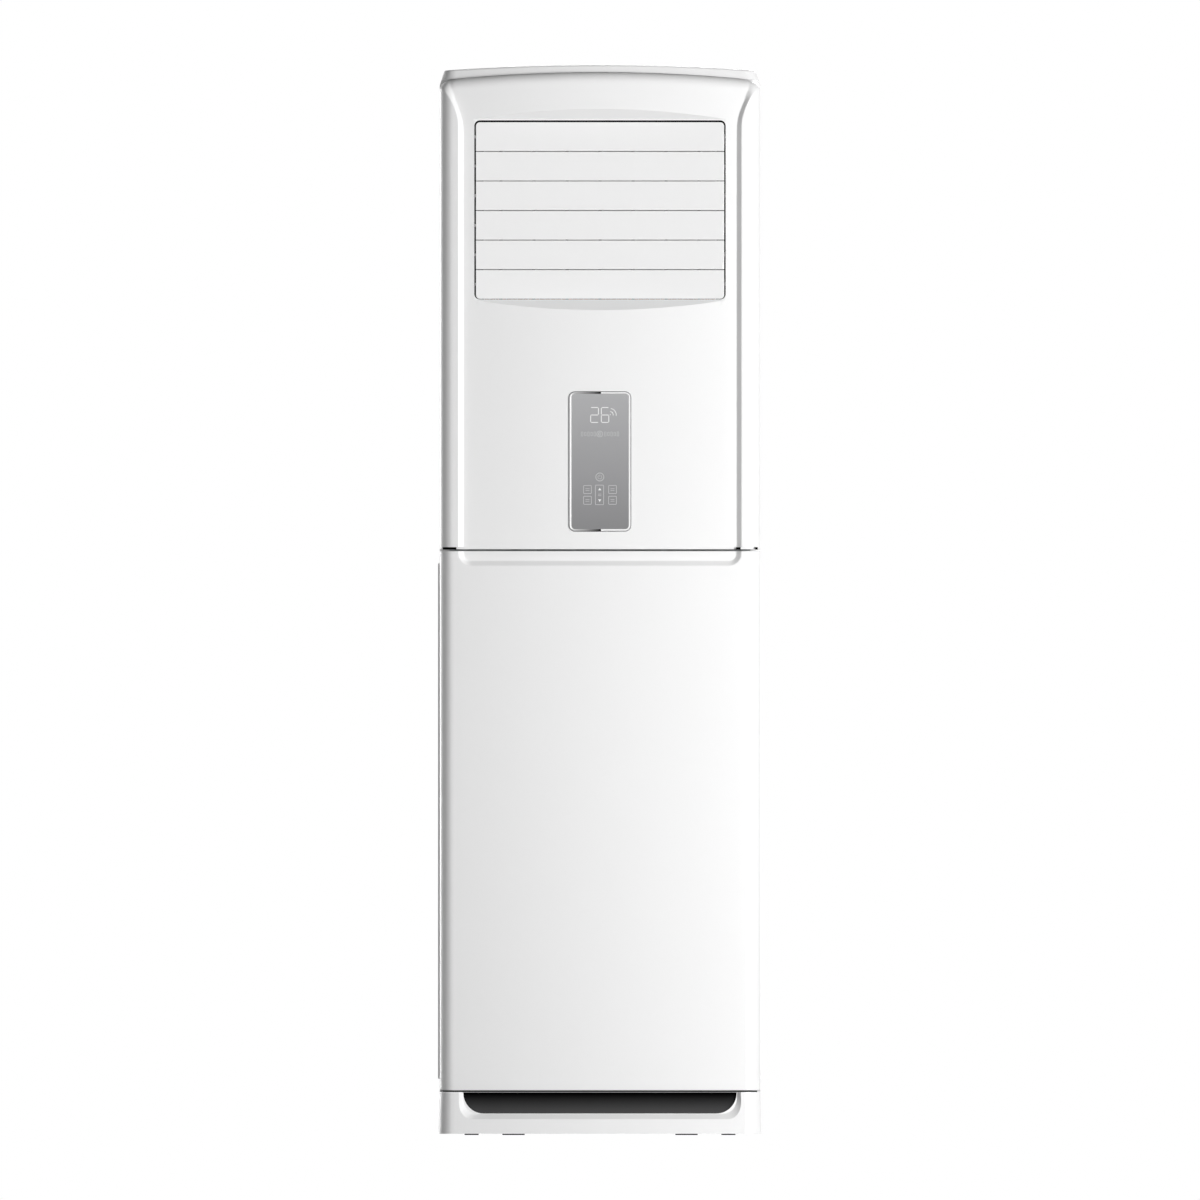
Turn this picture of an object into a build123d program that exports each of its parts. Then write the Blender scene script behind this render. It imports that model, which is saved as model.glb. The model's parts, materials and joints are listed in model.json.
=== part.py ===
from build123d import *
import math
import os

# Floor standing room air conditioner, indoor unit. Millimetres, +Z up, front towards -Y,
# origin under the middle of the body at the surface that it stands on.

# ---- body -------------------------------------------------------------------------------
HEIGHT = 1750.0             # floor to the crown of the top cover
BODY_W = 524.0              # across the side panels
BODY_D = 336.0              # front of the bow to the back panel
BOW_R = 1300.0              # radius of the bowed front, seen from above
CORNER_R = 30.0             # front corners, seen from above
WALL = 3.0                  # moulded wall
SHEET = 1.2                 # pressed steel
FIT = 0.3                   # gap between neighbouring pieces
SEAT = 0.1                  # gap under a plate that lies on the casing
RUN = 0.08                  # radial gap of a turning pin
WRAP_D = 73.0               # front of the bow back to the side panels
FLANGE = 16.0               # folded edge of a sheet

# ---- heights of the casing --------------------------------------------------------------
FOOT_H = 2.0                # foot pads stand this far out below the plinth
PLINTH_TOP = 70.0
PLINTH_FLARE = 2.0
PANEL_GAP = 3.0             # plinth to lower front panel
UPPER_H = 795.0             # crown to the top of the lower front panel
SEAM_GAP = 3.0
PILLAR_STEP = 3.5           # the pillars end this much higher than the face between them
SEAM_GROOVE = 0.8           # fine groove above the seam, width and depth
SEAM_GROOVE_UP = 5.5
SKIRT_H = 32.0              # crown to the underside of the top cover's side skirts

# ---- set-back face between the pillars --------------------------------------------------
RECESS = 8.0
PILLAR_W = 38.5             # side of the casing to the set-back face
RUNOUT_DROP = 60.0          # crown to where the pillars begin to run out sideways
RUNOUT = 60.0               # sideways and upward reach of that run-out
RUNOUT_R = 24.0
LEDGE_DROP = 16.0           # seam to the foot of the slope that closes the set-back
LEDGE_R = 13.0

# ---- rolled shoulder and crown ----------------------------------------------------------
JOINT_DROP = 12.5           # crown to the joint under the top cover, at the middle
JOINT_R = 2600.0
SHOULDER_R = 17.0
CROWN_R = 3600.0
CAP_DRAFT = 19.0            # slope of the top cover's sides, degrees
CAP_EDGE_R = 4.0
CAP_SETBACK = 27.0          # top cover's front behind the pillars' front
JOINT_GAP = 0.6

# ---- outlet -----------------------------------------------------------------------------
OUTLET_SIDE = 56.5          # side of the casing to the opening
OUTLET_H = 293.0
OUTLET_DROP = 90.5          # crown to the opening
OUTLET_R = 9.0
FACET_LIP = 2.0             # flat rim between the opening and its slopes

# ---- louvres ----------------------------------------------------------------------------
VANES = 6
VANE_T = 3.0
VANE_SET = 1.0              # louvre faces behind the rim
VANE_GAP = 1.0
VANE_TOP_GAP = 3.0
VANE_END_GAP = 2.5
VANE_EDGE_R = 0.8
PIVOT_BACK = 8.0            # louvre axis behind its face
PIVOT_RIB_R = 4.0
PIVOT_R = 2.5
CRANK = 14.0
CRANK_R = 2.0
CRANK_DEG = -42.5           # at rest, below straight back
ARM_T = 2.0
ARM_W = 7.0
LINK_T = 3.0
LINK_W = 8.0
DRIVE_BACK = 40.0           # motor shaft behind the louvre axes

# ---- outlet frame -----------------------------------------------------------------------
DUCT_WALL = 2.5
DUCT_SIDE = 8.5             # room beside the louvres for their link
DUCT_MARGIN = 1.5           # room above and below the opening
DUCT_REACH = 108.0          # front of the bow back to the frame's end
BULKHEAD_REACH = 24.0

# ---- deflector blades -------------------------------------------------------------------
BLADES = 7
BLADE_PITCH = 54.0
BLADE_T = 1.6
BLADE_D = 40.0
BLADE_EDGE_R = 0.79
BLADE_REACH = 81.0          # front of the bow back to the blades' axes
BLADE_FOOT = 10.0           # blade to the floor of the outlet frame
BLADE_HEAD = 1.5

# ---- swing motors -----------------------------------------------------------------------
SWING_R = 14.0
SWING_T = 19.0
SWING_EAR = 17.5
SWING_EAR_R = 3.5
SWING_EAR_T = 1.0
SWING_BITE = 8.0            # how far a driven pin reaches into its motor

# ---- display ----------------------------------------------------------------------------
DISPLAY_W = 101.8
DISPLAY_H = 229.0
DISPLAY_RISE = 146.5        # seam to the middle of the display
DISPLAY_R = 10.0
BEZEL_RING = 3.9
BEZEL_PROUD = 1.2
GLASS_SET = 0.5
CARRIER_MARGIN = 8.0
CARRIER_D = 9.0
BOARD_T = 1.6

# ---- plinth and base pan ----------------------------------------------------------------
SLOT_SIDE = 38.0            # side of the casing to the intake slot in the plinth
SLOT_FLOOR = 34.5
SLOT_CORNER_R = 34.0
SLOT_RIM = 7.5              # sloped rim round the slot
SLOT_LAND = 0.6             # flat edge between the rim's foot and the slot
PLINTH_FRONT_WALL = 10.0
PAN_EDGE_H = 28.0
ANCHOR_MID_Y = 20.0
ANCHOR_X = 400.0
ANCHOR_Y = 160.0
ANCHOR_R = 5.5
PAD_NARROW = 23.0
PAD_WIDE = 36.5
PAD_D = 24.0
PAD_R = 3.0
PAD_NARROW_X = 210.0
PAD_WIDE_X = 141.5
PAD_FRONT_IN = 68.0         # front of the bow back to the front pads
PAD_BACK_IN = 38.0          # back panel forward to the back pads

# ---- side intake ------------------------------------------------------------------------
GRILLE_PROUD = 3.0
GRILLE_EDGE = 1.0
GRILLE_BOTTOM = 92.0
GRILLE_DROP = 20.0          # seam to the top of the grilles
GRILLE_FRONT_IN = 106.0     # front of the bow back to the grilles
GRILLE_BACK_IN = 56.0       # back panel forward to the grilles
GRILLE_LIP = 5.0            # grille edge over the window in the side panel
SLOT_PITCH = 12.0
SLOT_H = 6.5
SLOT_MARGIN = 12.0
SLOT_MULLION = 8.0
FILTER_T = 6.0
FILTER_FRAME = 9.0
FILTER_BAR = 2.0
FILTER_PITCH = 28.0

# ---- back panel -------------------------------------------------------------------------
BEAD_W = 150.0              # pressed panels that stiffen the sheet
BEAD_DROP = 160.0           # crown to the uppermost bead
BEAD_DEPTH = 1.6
BEAD_COLS = 2
BEAD_ROWS = 4
BEAD_GAP_X = 40.0
BEAD_GAP_Z = 45.0
BEAD_Z0 = 215.0
BEAD_R = 18.0
SCREW_ROWS = 9
SCREW_HEAD_R = 3.8
SCREW_HEAD_H = 2.0
FLAT_HEAD_H = 0.5           # head of a screw that holds a plate on the back
SCREW_R = 2.0
SCREW_L = 7.0
SCREW_HOLE_R = 2.25
COVER_W = 150.0             # plate over the pipe exit
COVER_H = 110.0
COVER_SIDE = 112.0          # right side of the casing to the middle of the plate
COVER_Z = 140.0
COVER_LAP = 10.0
COVER_T = 1.4
COVER_LEFT = 25.0           # middle of the plate to its wide hole
COVER_RIGHT = 30.0          # middle of the plate to its narrow hole
BRACKET_W = 300.0           # anti-tip strip
BRACKET_H = 34.0
BRACKET_DROP = 70.0         # crown to the middle of the strip
BRACKET_T = 1.5
BRACKET_HOLE_R = 4.5
BRACKET_SPACING = 240.0

# ---- deck, rail, drain pan --------------------------------------------------------------
DECK_RISE = 28.0            # seam to the deck
RAIL_DROP = 30.0            # seam to the underside of the front rail
RAIL_H = 56.0
RAIL_D = 18.0
TRAY_H = 26.0
TRAY_FRONT_IN = 76.0        # front of the bow back to the tray
TRAY_D = 60.0
TRAY_LEFT = 18.0            # left side of the casing to the tray
TRAY_RIGHT = 40.0           # right side of the casing to the tray
TRAY_WALL = 2.0

# ---- evaporator -------------------------------------------------------------------------
COIL_EDGE = 2.0             # fin past the outermost tubes, less half a pitch
COIL_D = 38.0
COIL_SIDE = 48.0            # side of the casing to the fins
COIL_TILT = 22.0
COIL_REACH = 190.0          # front of the bow back to the coil's middle
COIL_RISE = 255.0           # deck to the middle of the coil
FIN_T = 0.8
FIN_PITCH = 9.0
TUBE_R = 4.76
TUBE_PITCH = 38.0
TUBE_ROWS_GAP = 22.0        # between the two rows of tubes
TUBES = 12
TUBE_FIT = 0.15
END_PLATE_T = 1.5
TUBE_STUB = 9.0             # straight tube past the end plate

# ---- refrigerant pipes and drain hose ---------------------------------------------------
GAS_R = 7.94
LIQUID_R = 4.76
PIPE_SIDE = 28.0            # right side of the casing to the pipes
GAS_END_Z = 190.0
LIQUID_END_Z = 260.0
PIPE_BEND = 9.0
GAS_UNION_R = 11.1          # threaded ends that the site pipes screw onto
LIQUID_UNION_R = 7.94
UNION_L = 14.0
GAS_HEX_R = 14.5
LIQUID_HEX_R = 10.5
HEX_H = 10.0
HOSE_R = 9.5
HOSE_BORE_R = 8.0
HOSE_SIDE = 30.0            # left side of the casing to the hose
HOSE_FRONT_IN = 111.0       # front of the bow back to the hose
HOSE_OUT_Z = 122.0
HOSE_BEND = 95.0
SPOUT_L = 22.0
SPOUT_WALL = 1.2
GROMMET_LIP = 3.0
CLIP_T = 2.0
CLIP_H = 12.0
CLIPS = 3
CLIP_Z0 = 330.0
CLIP_DROP = 135.0           # front rail to the uppermost clip

# ---- fan --------------------------------------------------------------------------------
FAN_X = -30.0
FAN_RISE = 57.5             # middle between plinth and electrical box, up to the fan
VOLUTE_SIDE = 82.0          # half the casing's width less the scroll's first quarter
VOLUTE_STEP = 20.0          # each further quarter is larger by this
SCROLL_FRONT_IN = 138.0     # front of the bow back to the scroll
SCROLL_BACK_IN = 56.0       # back panel forward to the scroll
SCROLL_T = 1.5
THROAT_SIDE = 66.0          # left side of the casing to the outlet's left wall at the deck
TONGUE_DEG = 140.0
INLET_LAP = 10.0            # inlet ring inside the wheel's blades
INLET_ROLL = 6.0
INLET_LIP = 3               # flat rim round the roll, in rolls
INLET_DEPTH = 22.0
WHEEL_RIM_GAP = 17.0        # wheel to the scroll's first quarter
WHEEL_RIM_W = 31.0          # ring that the wheel's blades fill
WHEEL_SIDES = 26.0          # scroll's depth less the wheel's width
WHEEL_GAP = 12.0            # back disc to the scroll's back
WHEEL_DISC_T = 2.5
WHEEL_RING_T = 3.0
FAN_BLADES = 40
FAN_BLADE_T = 1.4
HUB_R = 24.0
HUB_L = 42.0
SHAFT_R = 6.0
MOTOR_R = 66.0
MOTOR_L = 46.0
MOTOR_BOSS_R = 20.0
MOTOR_BOSS_L = 8.0
MOTOR_OFF = 4.0             # motor face behind the scroll
MOTOR_FOOT_R = 10.0
MOTOR_PLATE_MARGIN = 15.0   # plate round the motor's bolt circle
FEET_PCD = 150.0
FEET = 4
NUT_R = 10.2                # across the corners of the shaft's nut
NUT_H = 6.5

# ---- electrical box ---------------------------------------------------------------------
EBOX_W = 300.0
EBOX_H = 190.0
EBOX_D = 70.0
EBOX_X = 0.0
EBOX_DROP = 193.0           # deck to the middle of the box
PCB_W = 200.0
PCB_H = 150.0
STANDOFF = 8.0
PCB_EDGE = 7.5              # board's edge to the relays
RELAYS = 4
RELAY_W = 18.0
RELAY_H = 28.5
RELAY_D = 15.0
RELAY_PITCH = 39.0
CORE_W = 48.0               # transformer
CORE_H = 45.0
CORE_IN = 30.0              # board's left edge to the transformer, and its depth
SINK_X = 102.0              # board's left edge to the heat sink
SINK_FINS = 5
SINK_FIN_T = 3.75
SINK_H = 51.0
CAPACITOR_W = 46.0
CAPACITOR_D = 28.0
CAPACITOR_H = 58.0
TERMINALS = 5

# ---- derived planes ---------------------------------------------------------------------
HALF_W = BODY_W / 2
BACK_Y = BODY_D / 2
BOW_Y = BOW_R - BODY_D / 2
SEAM_Z = HEIGHT - UPPER_H
UPPER_Z = SEAM_Z + SEAM_GAP
LOWER_Z = PLINTH_TOP + PANEL_GAP
WRAP_Y = WRAP_D - BACK_Y
SKIRT_Z = HEIGHT - SKIRT_H
RECESS_HALF = HALF_W - PILLAR_W
RECESS_TOP = HEIGHT - RUNOUT_DROP
LEDGE_Z = SEAM_Z - LEDGE_DROP
JOINT_Z = HEIGHT - JOINT_DROP
OUTLET_W = BODY_W - 2 * OUTLET_SIDE
OUTLET_TOP = HEIGHT - OUTLET_DROP
DUCT_BACK_Y = DUCT_REACH - BACK_Y
BLADE_Y = BLADE_REACH - BACK_Y
DISPLAY_MID_Z = SEAM_Z + DISPLAY_RISE
SLOT_HALF = HALF_W - SLOT_SIDE
PAD_FRONT_Y = PAD_FRONT_IN - BACK_Y
PAD_BACK_Y = BACK_Y - PAD_BACK_IN
GRILLE_TOP = SEAM_Z - GRILLE_DROP
GRILLE_Y0 = GRILLE_FRONT_IN - BACK_Y
GRILLE_Y1 = BACK_Y - GRILLE_BACK_IN
BEAD_H = (HEIGHT - BEAD_DROP - BEAD_Z0 - (BEAD_ROWS - 1) * BEAD_GAP_Z) / BEAD_ROWS
BRACKET_Z = HEIGHT - BRACKET_DROP
DECK_Z = SEAM_Z + DECK_RISE
RAIL_Z0 = SEAM_Z - RAIL_DROP
TRAY_X0 = TRAY_LEFT - HALF_W
TRAY_Y0 = TRAY_FRONT_IN - BACK_Y
TRAY_Y1 = TRAY_Y0 + TRAY_D
COIL_Y = COIL_REACH - BACK_Y
TRAY_X1 = HALF_W - TRAY_RIGHT
COIL_L = TUBES * TUBE_PITCH + 2 * COIL_EDGE
COIL_HALF = HALF_W - COIL_SIDE
COIL_Z = DECK_Z + COIL_RISE
PIPE_X = HALF_W - PIPE_SIDE
HOSE_X = HOSE_SIDE - HALF_W
HOSE_Y = HOSE_FRONT_IN - BACK_Y
VOLUTE_R = HALF_W - VOLUTE_SIDE
SCROLL_Y = SCROLL_FRONT_IN - BACK_Y
SCROLL_D = BODY_D - SCROLL_FRONT_IN - SCROLL_BACK_IN
THROAT_X = THROAT_SIDE - HALF_W
WHEEL_R = VOLUTE_R - WHEEL_RIM_GAP
WHEEL_IN_R = WHEEL_R - WHEEL_RIM_W
INLET_R = WHEEL_IN_R - INLET_LAP
WHEEL_W = SCROLL_D - WHEEL_SIDES
EBOX_Z = DECK_Z - EBOX_DROP
FAN_Z = (PLINTH_TOP + EBOX_Z - EBOX_H / 2) / 2 + FAN_RISE
COVER_X = HALF_W - COVER_SIDE
OUTLET_HALF = OUTLET_W / 2
OUTLET_BOTTOM = OUTLET_TOP - OUTLET_H
IN_X = HALF_W - SHEET - FIT         # inside face of a side panel, less a fit
IN_Y = BACK_Y - SHEET - FIT         # inside face of the back panel, less a fit
SIDE_FRONT_Y = WRAP_Y + FIT


def bow(inset, x):
    """Y of the bowed front, set back by inset, at a given x."""
    return BOW_Y - math.sqrt((BOW_R - inset) ** 2 - x ** 2)


FACE_EDGE_Y = bow(RECESS, RECESS_HALF)
RIM_Y = bow(RECESS, OUTLET_HALF)
VANE_H = (OUTLET_H - VANE_TOP_GAP - VANES * VANE_GAP) / VANES
VANE_PITCH = VANE_H + VANE_GAP
VANE_HALF = OUTLET_HALF - VANE_END_GAP
VANE_Y = RIM_Y + VANE_SET
PIVOT_Y = VANE_Y + PIVOT_BACK
DUCT_HALF = OUTLET_HALF + DUCT_SIDE
DUCT_TOP = OUTLET_TOP + DUCT_MARGIN
DUCT_FLOOR = OUTLET_BOTTOM - DUCT_MARGIN
DUCT_FRONT_Y = bow(RECESS + WALL, DUCT_HALF + DUCT_WALL) + FIT


# ---- helpers ----------------------------------------------------------------------------
def block(x0, x1, y0, y1, z0, z1):
    """Box between two corners."""
    middle = Pos((x0 + x1) / 2, (y0 + y1) / 2, (z0 + z1) / 2)
    return middle * Box(x1 - x0, y1 - y0, z1 - z0)


def rod_x(radius, x0, x1, y, z):
    """Cylinder along X."""
    return Pos((x0 + x1) / 2, y, z) * Rot(0, 90, 0) * Cylinder(radius, x1 - x0)


def rod_y(radius, y0, y1, x, z):
    """Cylinder along Y."""
    return Pos(x, (y0 + y1) / 2, z) * Rot(90, 0, 0) * Cylinder(radius, y1 - y0)


def rod_z(radius, z0, z1, x, y):
    """Cylinder along Z."""
    return Pos(x, y, (z0 + z1) / 2) * Cylinder(radius, z1 - z0)


def facing(y, x=0.0, z=0.0):
    """Plane that faces the front, with local x to the right and local y up."""
    return Plane(origin=(x, y, z), x_dir=(1, 0, 0), z_dir=(0, -1, 0))


def plate_y(sketch, y0, y1):
    """Sketch drawn as seen from the front, made solid from y0 back to y1."""
    return extrude(facing(y1) * sketch, amount=y1 - y0)


def plan(front, side, corner, y_back):
    """Body seen from above: bow, two rounded corners, straight sides and back."""
    half = HALF_W - side
    disc = Pos(0, BOW_Y) * Circle(BOW_R - front)
    strip = Pos(0, y_back - BODY_D) * Rectangle(2 * half, 2 * BODY_D)
    outline = disc & strip
    corners = outline.vertices().group_by(Axis.Y)[0]
    return fillet(corners, corner)


def tower(sketch, z0, z1, taper=0.0):
    """Sketch seen from above, made solid between two heights."""
    return Pos(0, 0, z0) * extrude(sketch, amount=z1 - z0, taper=taper)


def under_arc(radius, crown_z):
    """Everything under a wide arch that crosses from side to side."""
    return rod_y(radius, -BODY_D, BODY_D, 0, crown_z - radius)


def group(solids):
    """Separate solids kept as one sub-part."""
    return Compound(children=list(solids))


def both_sides(solid):
    """A piece of the right side and its mirror image on the left."""
    return group([solid, mirror(solid, Plane.YZ)])


def rounded(width, height, radius):
    """Rounded rectangle, centred."""
    return RectangleRounded(width, height, radius)


PARTS = {}


# ---- front mouldings --------------------------------------------------------------------
def face_block(inset, z0):
    """Face between the pillars, carried over the shoulder at its top."""
    outline = plan(RECESS + inset, inset, CORNER_R - inset, WRAP_Y + inset)
    body = tower(outline, z0 + inset, HEIGHT) & under_arc(JOINT_R - inset, JOINT_Z - inset)
    top = body.faces().sort_by(Axis.Z)[-1]
    rim = top.edges().sort_by(Axis.Y)[:-1]
    return fillet(rim, SHOULDER_R - inset)


def set_back(inset):
    """Space in front of the face: sloped sides that run out sideways at the top."""
    grow = inset * (math.sqrt(2) - 1)
    half = RECESS_HALF + grow
    out = half + RUNOUT
    top = RECESS_TOP + RUNOUT
    edge = FilletPolyline(
        (half, 0), (half, RECESS_TOP), (out, top), (-out, top), (-half, RECESS_TOP), (-half, 0),
        radius=RUNOUT_R, close=True)
    return extrude(facing(FACE_EDGE_Y + inset) * make_face(edge), amount=RUNOUT, taper=-45)


def upper_form(inset):
    """Upper front panel as a full body, grown inwards by inset."""
    outline = plan(inset, inset, CORNER_R - inset, WRAP_Y + inset)
    pillars = tower(outline, UPPER_Z + PILLAR_STEP + inset, RECESS_TOP + RUNOUT) - set_back(inset)
    pillars = pillars & under_arc(JOINT_R - inset, JOINT_Z - RECESS - inset)
    return face_block(inset, UPPER_Z) + pillars


def facet_wedge(inset):
    """Space of the slopes over and under the outlet, seen from the side a wedge."""
    reach = RECESS * 4
    top = OUTLET_TOP + FACET_LIP + inset * (math.sqrt(2) - 1)
    bottom = OUTLET_BOTTOM - VANE_GAP - inset * (math.sqrt(2) - 1)
    y = RIM_Y + inset
    section = Polyline(
        (y, bottom), (y, top), (y - reach, top + reach), (y - reach, bottom - reach), close=True)
    half = OUTLET_HALF + inset
    side = Plane(origin=(-half, 0, 0), x_dir=(0, 1, 0), z_dir=(1, 0, 0))
    return extrude(side * make_face(section), amount=2 * half)


def upper_panel():
    """Upper front panel: hollow moulding with outlet, display window and seam groove."""
    shell = upper_form(0) - facet_wedge(0)
    hollow = upper_form(WALL) - facet_wedge(WALL)
    shell -= hollow
    outlet = Pos(0, OUTLET_TOP - OUTLET_H / 2) * rounded(OUTLET_W, OUTLET_H, OUTLET_R)
    shell -= plate_y(outlet, -BODY_D, WRAP_Y)
    window = Pos(0, DISPLAY_MID_Z) * rounded(DISPLAY_W + 2 * FIT, DISPLAY_H + 2 * FIT, DISPLAY_R + FIT)
    shell -= plate_y(window, -BODY_D, WRAP_Y)
    groove_z = UPPER_Z + SEAM_GROOVE_UP
    ring = Pos(0, BOW_Y) * (Circle(BOW_R) - Circle(BOW_R - RECESS - SEAM_GROOVE))
    groove = tower(ring, groove_z, groove_z + SEAM_GROOVE)
    width = RECESS_HALF - WALL
    groove = groove & block(-width, width, -BODY_D, 0, groove_z, groove_z + SEAM_GROOVE)
    return shell - groove


PARTS["upper_front_panel"] = upper_panel()


def bowed_pocket(half, foot, top, depth, corner):
    """Space let into the bow: floor at a depth, two side slopes and a foot slope at 45 degrees."""
    reach = corner * 2
    edge_y = bow(depth, half)
    section = Polyline(
        (half, edge_y), (half + reach, edge_y - reach), (half + reach, -BODY_D),
        (-half - reach, -BODY_D), (-half - reach, edge_y - reach), (-half, edge_y), (0, BOW_Y),
        close=True)
    sides = tower(make_face(section), foot - reach, top)
    floor_r = BOW_R - depth
    profile = Polyline(
        (floor_r, foot), (floor_r, top), (floor_r + reach, top), (floor_r + reach, foot - reach),
        close=True)
    ring = revolve(Plane.XZ * make_face(profile), Axis.Z)
    space = sides & (Pos(0, BOW_Y, 0) * ring)
    mitres = [e for e in space.edges() if is_mitre(e, foot, reach)]
    return fillet(mitres, corner)


def is_mitre(edge, foot, reach):
    """True for the slanted edge where a side slope meets the foot slope."""
    ends = (edge.start_point().Z, edge.end_point().Z)
    slanted = max(ends) - min(ends) > reach / 2
    return slanted and max(ends) < foot + 1 and edge.center().Y < bow(0, 0) + BODY_D / 4


def ledge_space(inset):
    """End of the set-back on the lower panel."""
    drop = inset * math.sqrt(2)
    return bowed_pocket(RECESS_HALF + drop, LEDGE_Z - drop, SEAM_Z + WALL, RECESS + inset, LEDGE_R)


def lower_form(inset):
    """Lower front panel as a full body, grown inwards by inset."""
    outline = plan(inset, inset, CORNER_R - inset, WRAP_Y + inset)
    return tower(outline, LOWER_Z + inset, SEAM_Z - inset) - ledge_space(inset)


def lower_panel():
    """Lower front panel: hollow moulding, open at the back."""
    return lower_form(0) - lower_form(WALL)


def cap_form(inset):
    """Top cover as a full body: drafted sides under a wide crown."""
    outline = plan(CAP_SETBACK + inset, inset, CORNER_R - inset, BACK_Y - inset)
    body = tower(outline, SKIRT_Z, HEIGHT + WALL, taper=CAP_DRAFT)
    body = body & under_arc(CROWN_R, HEIGHT - inset)
    crown = body.faces().sort_by(Axis.Z)[-1]
    body = fillet(crown.edges(), CAP_EDGE_R)
    step = under_arc(JOINT_R - inset, JOINT_Z + JOINT_GAP + inset)
    return body - (step & block(-BODY_W, BODY_W, -BODY_D, WRAP_Y + FIT + inset, 0, HEIGHT))


def top_cover():
    """Top cover: shell with a front lip that rests over the upper panel's shoulder."""
    hollow = cap_form(WALL)
    foot = hollow.faces().sort_by(Axis.Z)[0]
    return cap_form(0) - hollow - extrude(foot, amount=WALL)


def plinth():
    """Plinth skirt with flared sides and the wide intake slot with its sloped rim."""
    flare = math.degrees(math.atan(PLINTH_FLARE / (PLINTH_TOP - FOOT_H)))
    foot = plan(-PLINTH_FLARE, -PLINTH_FLARE, CORNER_R + PLINTH_FLARE, BACK_Y + PLINTH_FLARE)
    body = tower(foot, FOOT_H, PLINTH_TOP, taper=flare)
    inside = plan(PLINTH_FRONT_WALL, WALL, CORNER_R - WALL, BACK_Y - WALL)
    body -= tower(inside, 0, HEIGHT)
    width = 2 * (SLOT_HALF - SLOT_LAND)
    height = 2 * (PLINTH_TOP - SLOT_FLOOR - SLOT_LAND)
    slot = Pos(0, PLINTH_TOP) * rounded(width, height, SLOT_CORNER_R - SLOT_LAND)
    body -= plate_y(slot, -BODY_D, WRAP_Y)
    return body - bowed_pocket(SLOT_HALF, SLOT_FLOOR, PLINTH_TOP + WALL, SLOT_RIM, SLOT_CORNER_R)


PARTS["lower_front_panel"] = lower_panel()
PARTS["top_cover"] = top_cover()
PARTS["plinth"] = plinth()


# ---- louvres and their link -------------------------------------------------------------
ARM_X = VANE_HALF + ARM_T
LINK_X = ARM_X + FIT
DRIVE_Z = OUTLET_TOP - OUTLET_H / 2


def vane_top(index):
    """Top edge of a louvre, counted from 1 at the top."""
    return OUTLET_TOP - VANE_TOP_GAP - (index - 1) * VANE_PITCH


def pivot_z(index):
    """Height of a louvre's axis."""
    return vane_top(index) - VANE_H / 2


def vane_outline(index):
    """Louvre seen from the front: the end ones follow the opening's rounded corners."""
    middle = Pos(0, pivot_z(index))
    outline = middle * Rectangle(2 * VANE_HALF, VANE_H)
    radius = OUTLET_R - VANE_END_GAP
    if index == 1:
        return fillet(outline.vertices().group_by(Axis.Y)[-1], radius)
    if index == VANES:
        return fillet(outline.vertices().group_by(Axis.Y)[0], radius)
    return outline


def crank_at(index):
    """Crank pin of a louvre: y and z of its axis."""
    angle = math.radians(CRANK_DEG)
    return PIVOT_Y + CRANK * math.cos(angle), pivot_z(index) + CRANK * math.sin(angle)


def louver(index):
    """Louvre: flat blade, rib along its axis, end pins and crank arm with its pin."""
    z = pivot_z(index)
    blade = plate_y(vane_outline(index), VANE_Y, VANE_Y + VANE_T)
    blade = fillet(blade.faces().sort_by(Axis.Y)[0].edges(), VANE_EDGE_R)
    rib = rod_x(PIVOT_RIB_R, -VANE_HALF, VANE_HALF, PIVOT_Y, z)
    rib += block(
        -VANE_HALF, VANE_HALF, VANE_Y + VANE_T / 2, PIVOT_Y, z - PIVOT_RIB_R, z + PIVOT_RIB_R)
    pin_end = DUCT_HALF + DUCT_WALL
    pin = rod_x(PIVOT_R, -pin_end, pin_end, PIVOT_Y, z)
    crank_y, crank_z = crank_at(index)
    crank = rod_x(CRANK_R, ARM_X, LINK_X + LINK_T, crank_y, crank_z)
    return blade + rib + pin + crank_arm(VANE_HALF, PIVOT_Y, z) + crank


def crank_arm(x, y, z):
    """Flat arm from an axis to its crank pin, in the plane across the axis."""
    arm = Pos(CRANK / 2, 0) * SlotCenterToCenter(CRANK, ARM_W)
    side = Plane(origin=(x, y, z), x_dir=(0, 1, 0), z_dir=(1, 0, 0))
    return extrude(side * (Rot(0, 0, CRANK_DEG) * arm), amount=ARM_T)


def louver_link():
    """Bar that joins the crank pins of all the louvres and the motor's crank."""
    y, z_top = crank_at(1)
    z_low = crank_at(VANES)[1]
    z_drive = DRIVE_Z + crank_at(1)[1] - pivot_z(1)
    upright = Plane(origin=(LINK_X, y, (z_top + z_low) / 2), x_dir=(0, 0, 1), z_dir=(1, 0, 0))
    bar = extrude(upright * SlotCenterToCenter(z_top - z_low, LINK_W), amount=LINK_T)
    level = Plane(origin=(LINK_X, y + DRIVE_BACK / 2, z_drive), x_dir=(0, 1, 0), z_dir=(1, 0, 0))
    bar += extrude(level * SlotCenterToCenter(DRIVE_BACK, LINK_W), amount=LINK_T)
    bar -= rod_x(CRANK_R + RUN, LINK_X - LINK_T, LINK_X + 2 * LINK_T, y + DRIVE_BACK, z_drive)
    for index in range(1, VANES + 1):
        bar -= rod_x(CRANK_R + RUN, LINK_X - LINK_T, LINK_X + 2 * LINK_T, y, crank_at(index)[1])
    return bar


def louver_crank():
    """Motor crank that drives the louvre link: shaft, arm and pin."""
    x = LINK_X + LINK_T + FIT
    y = PIVOT_Y + DRIVE_BACK
    crank_y = crank_at(1)[0] + DRIVE_BACK
    crank_z = DRIVE_Z + crank_at(1)[1] - pivot_z(1)
    shaft = rod_x(PIVOT_R, x, DUCT_HALF + DUCT_WALL + SWING_BITE, y, DRIVE_Z)
    return crank_arm(x, y, DRIVE_Z) + shaft + rod_x(CRANK_R, LINK_X, x, crank_y, crank_z)


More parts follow.
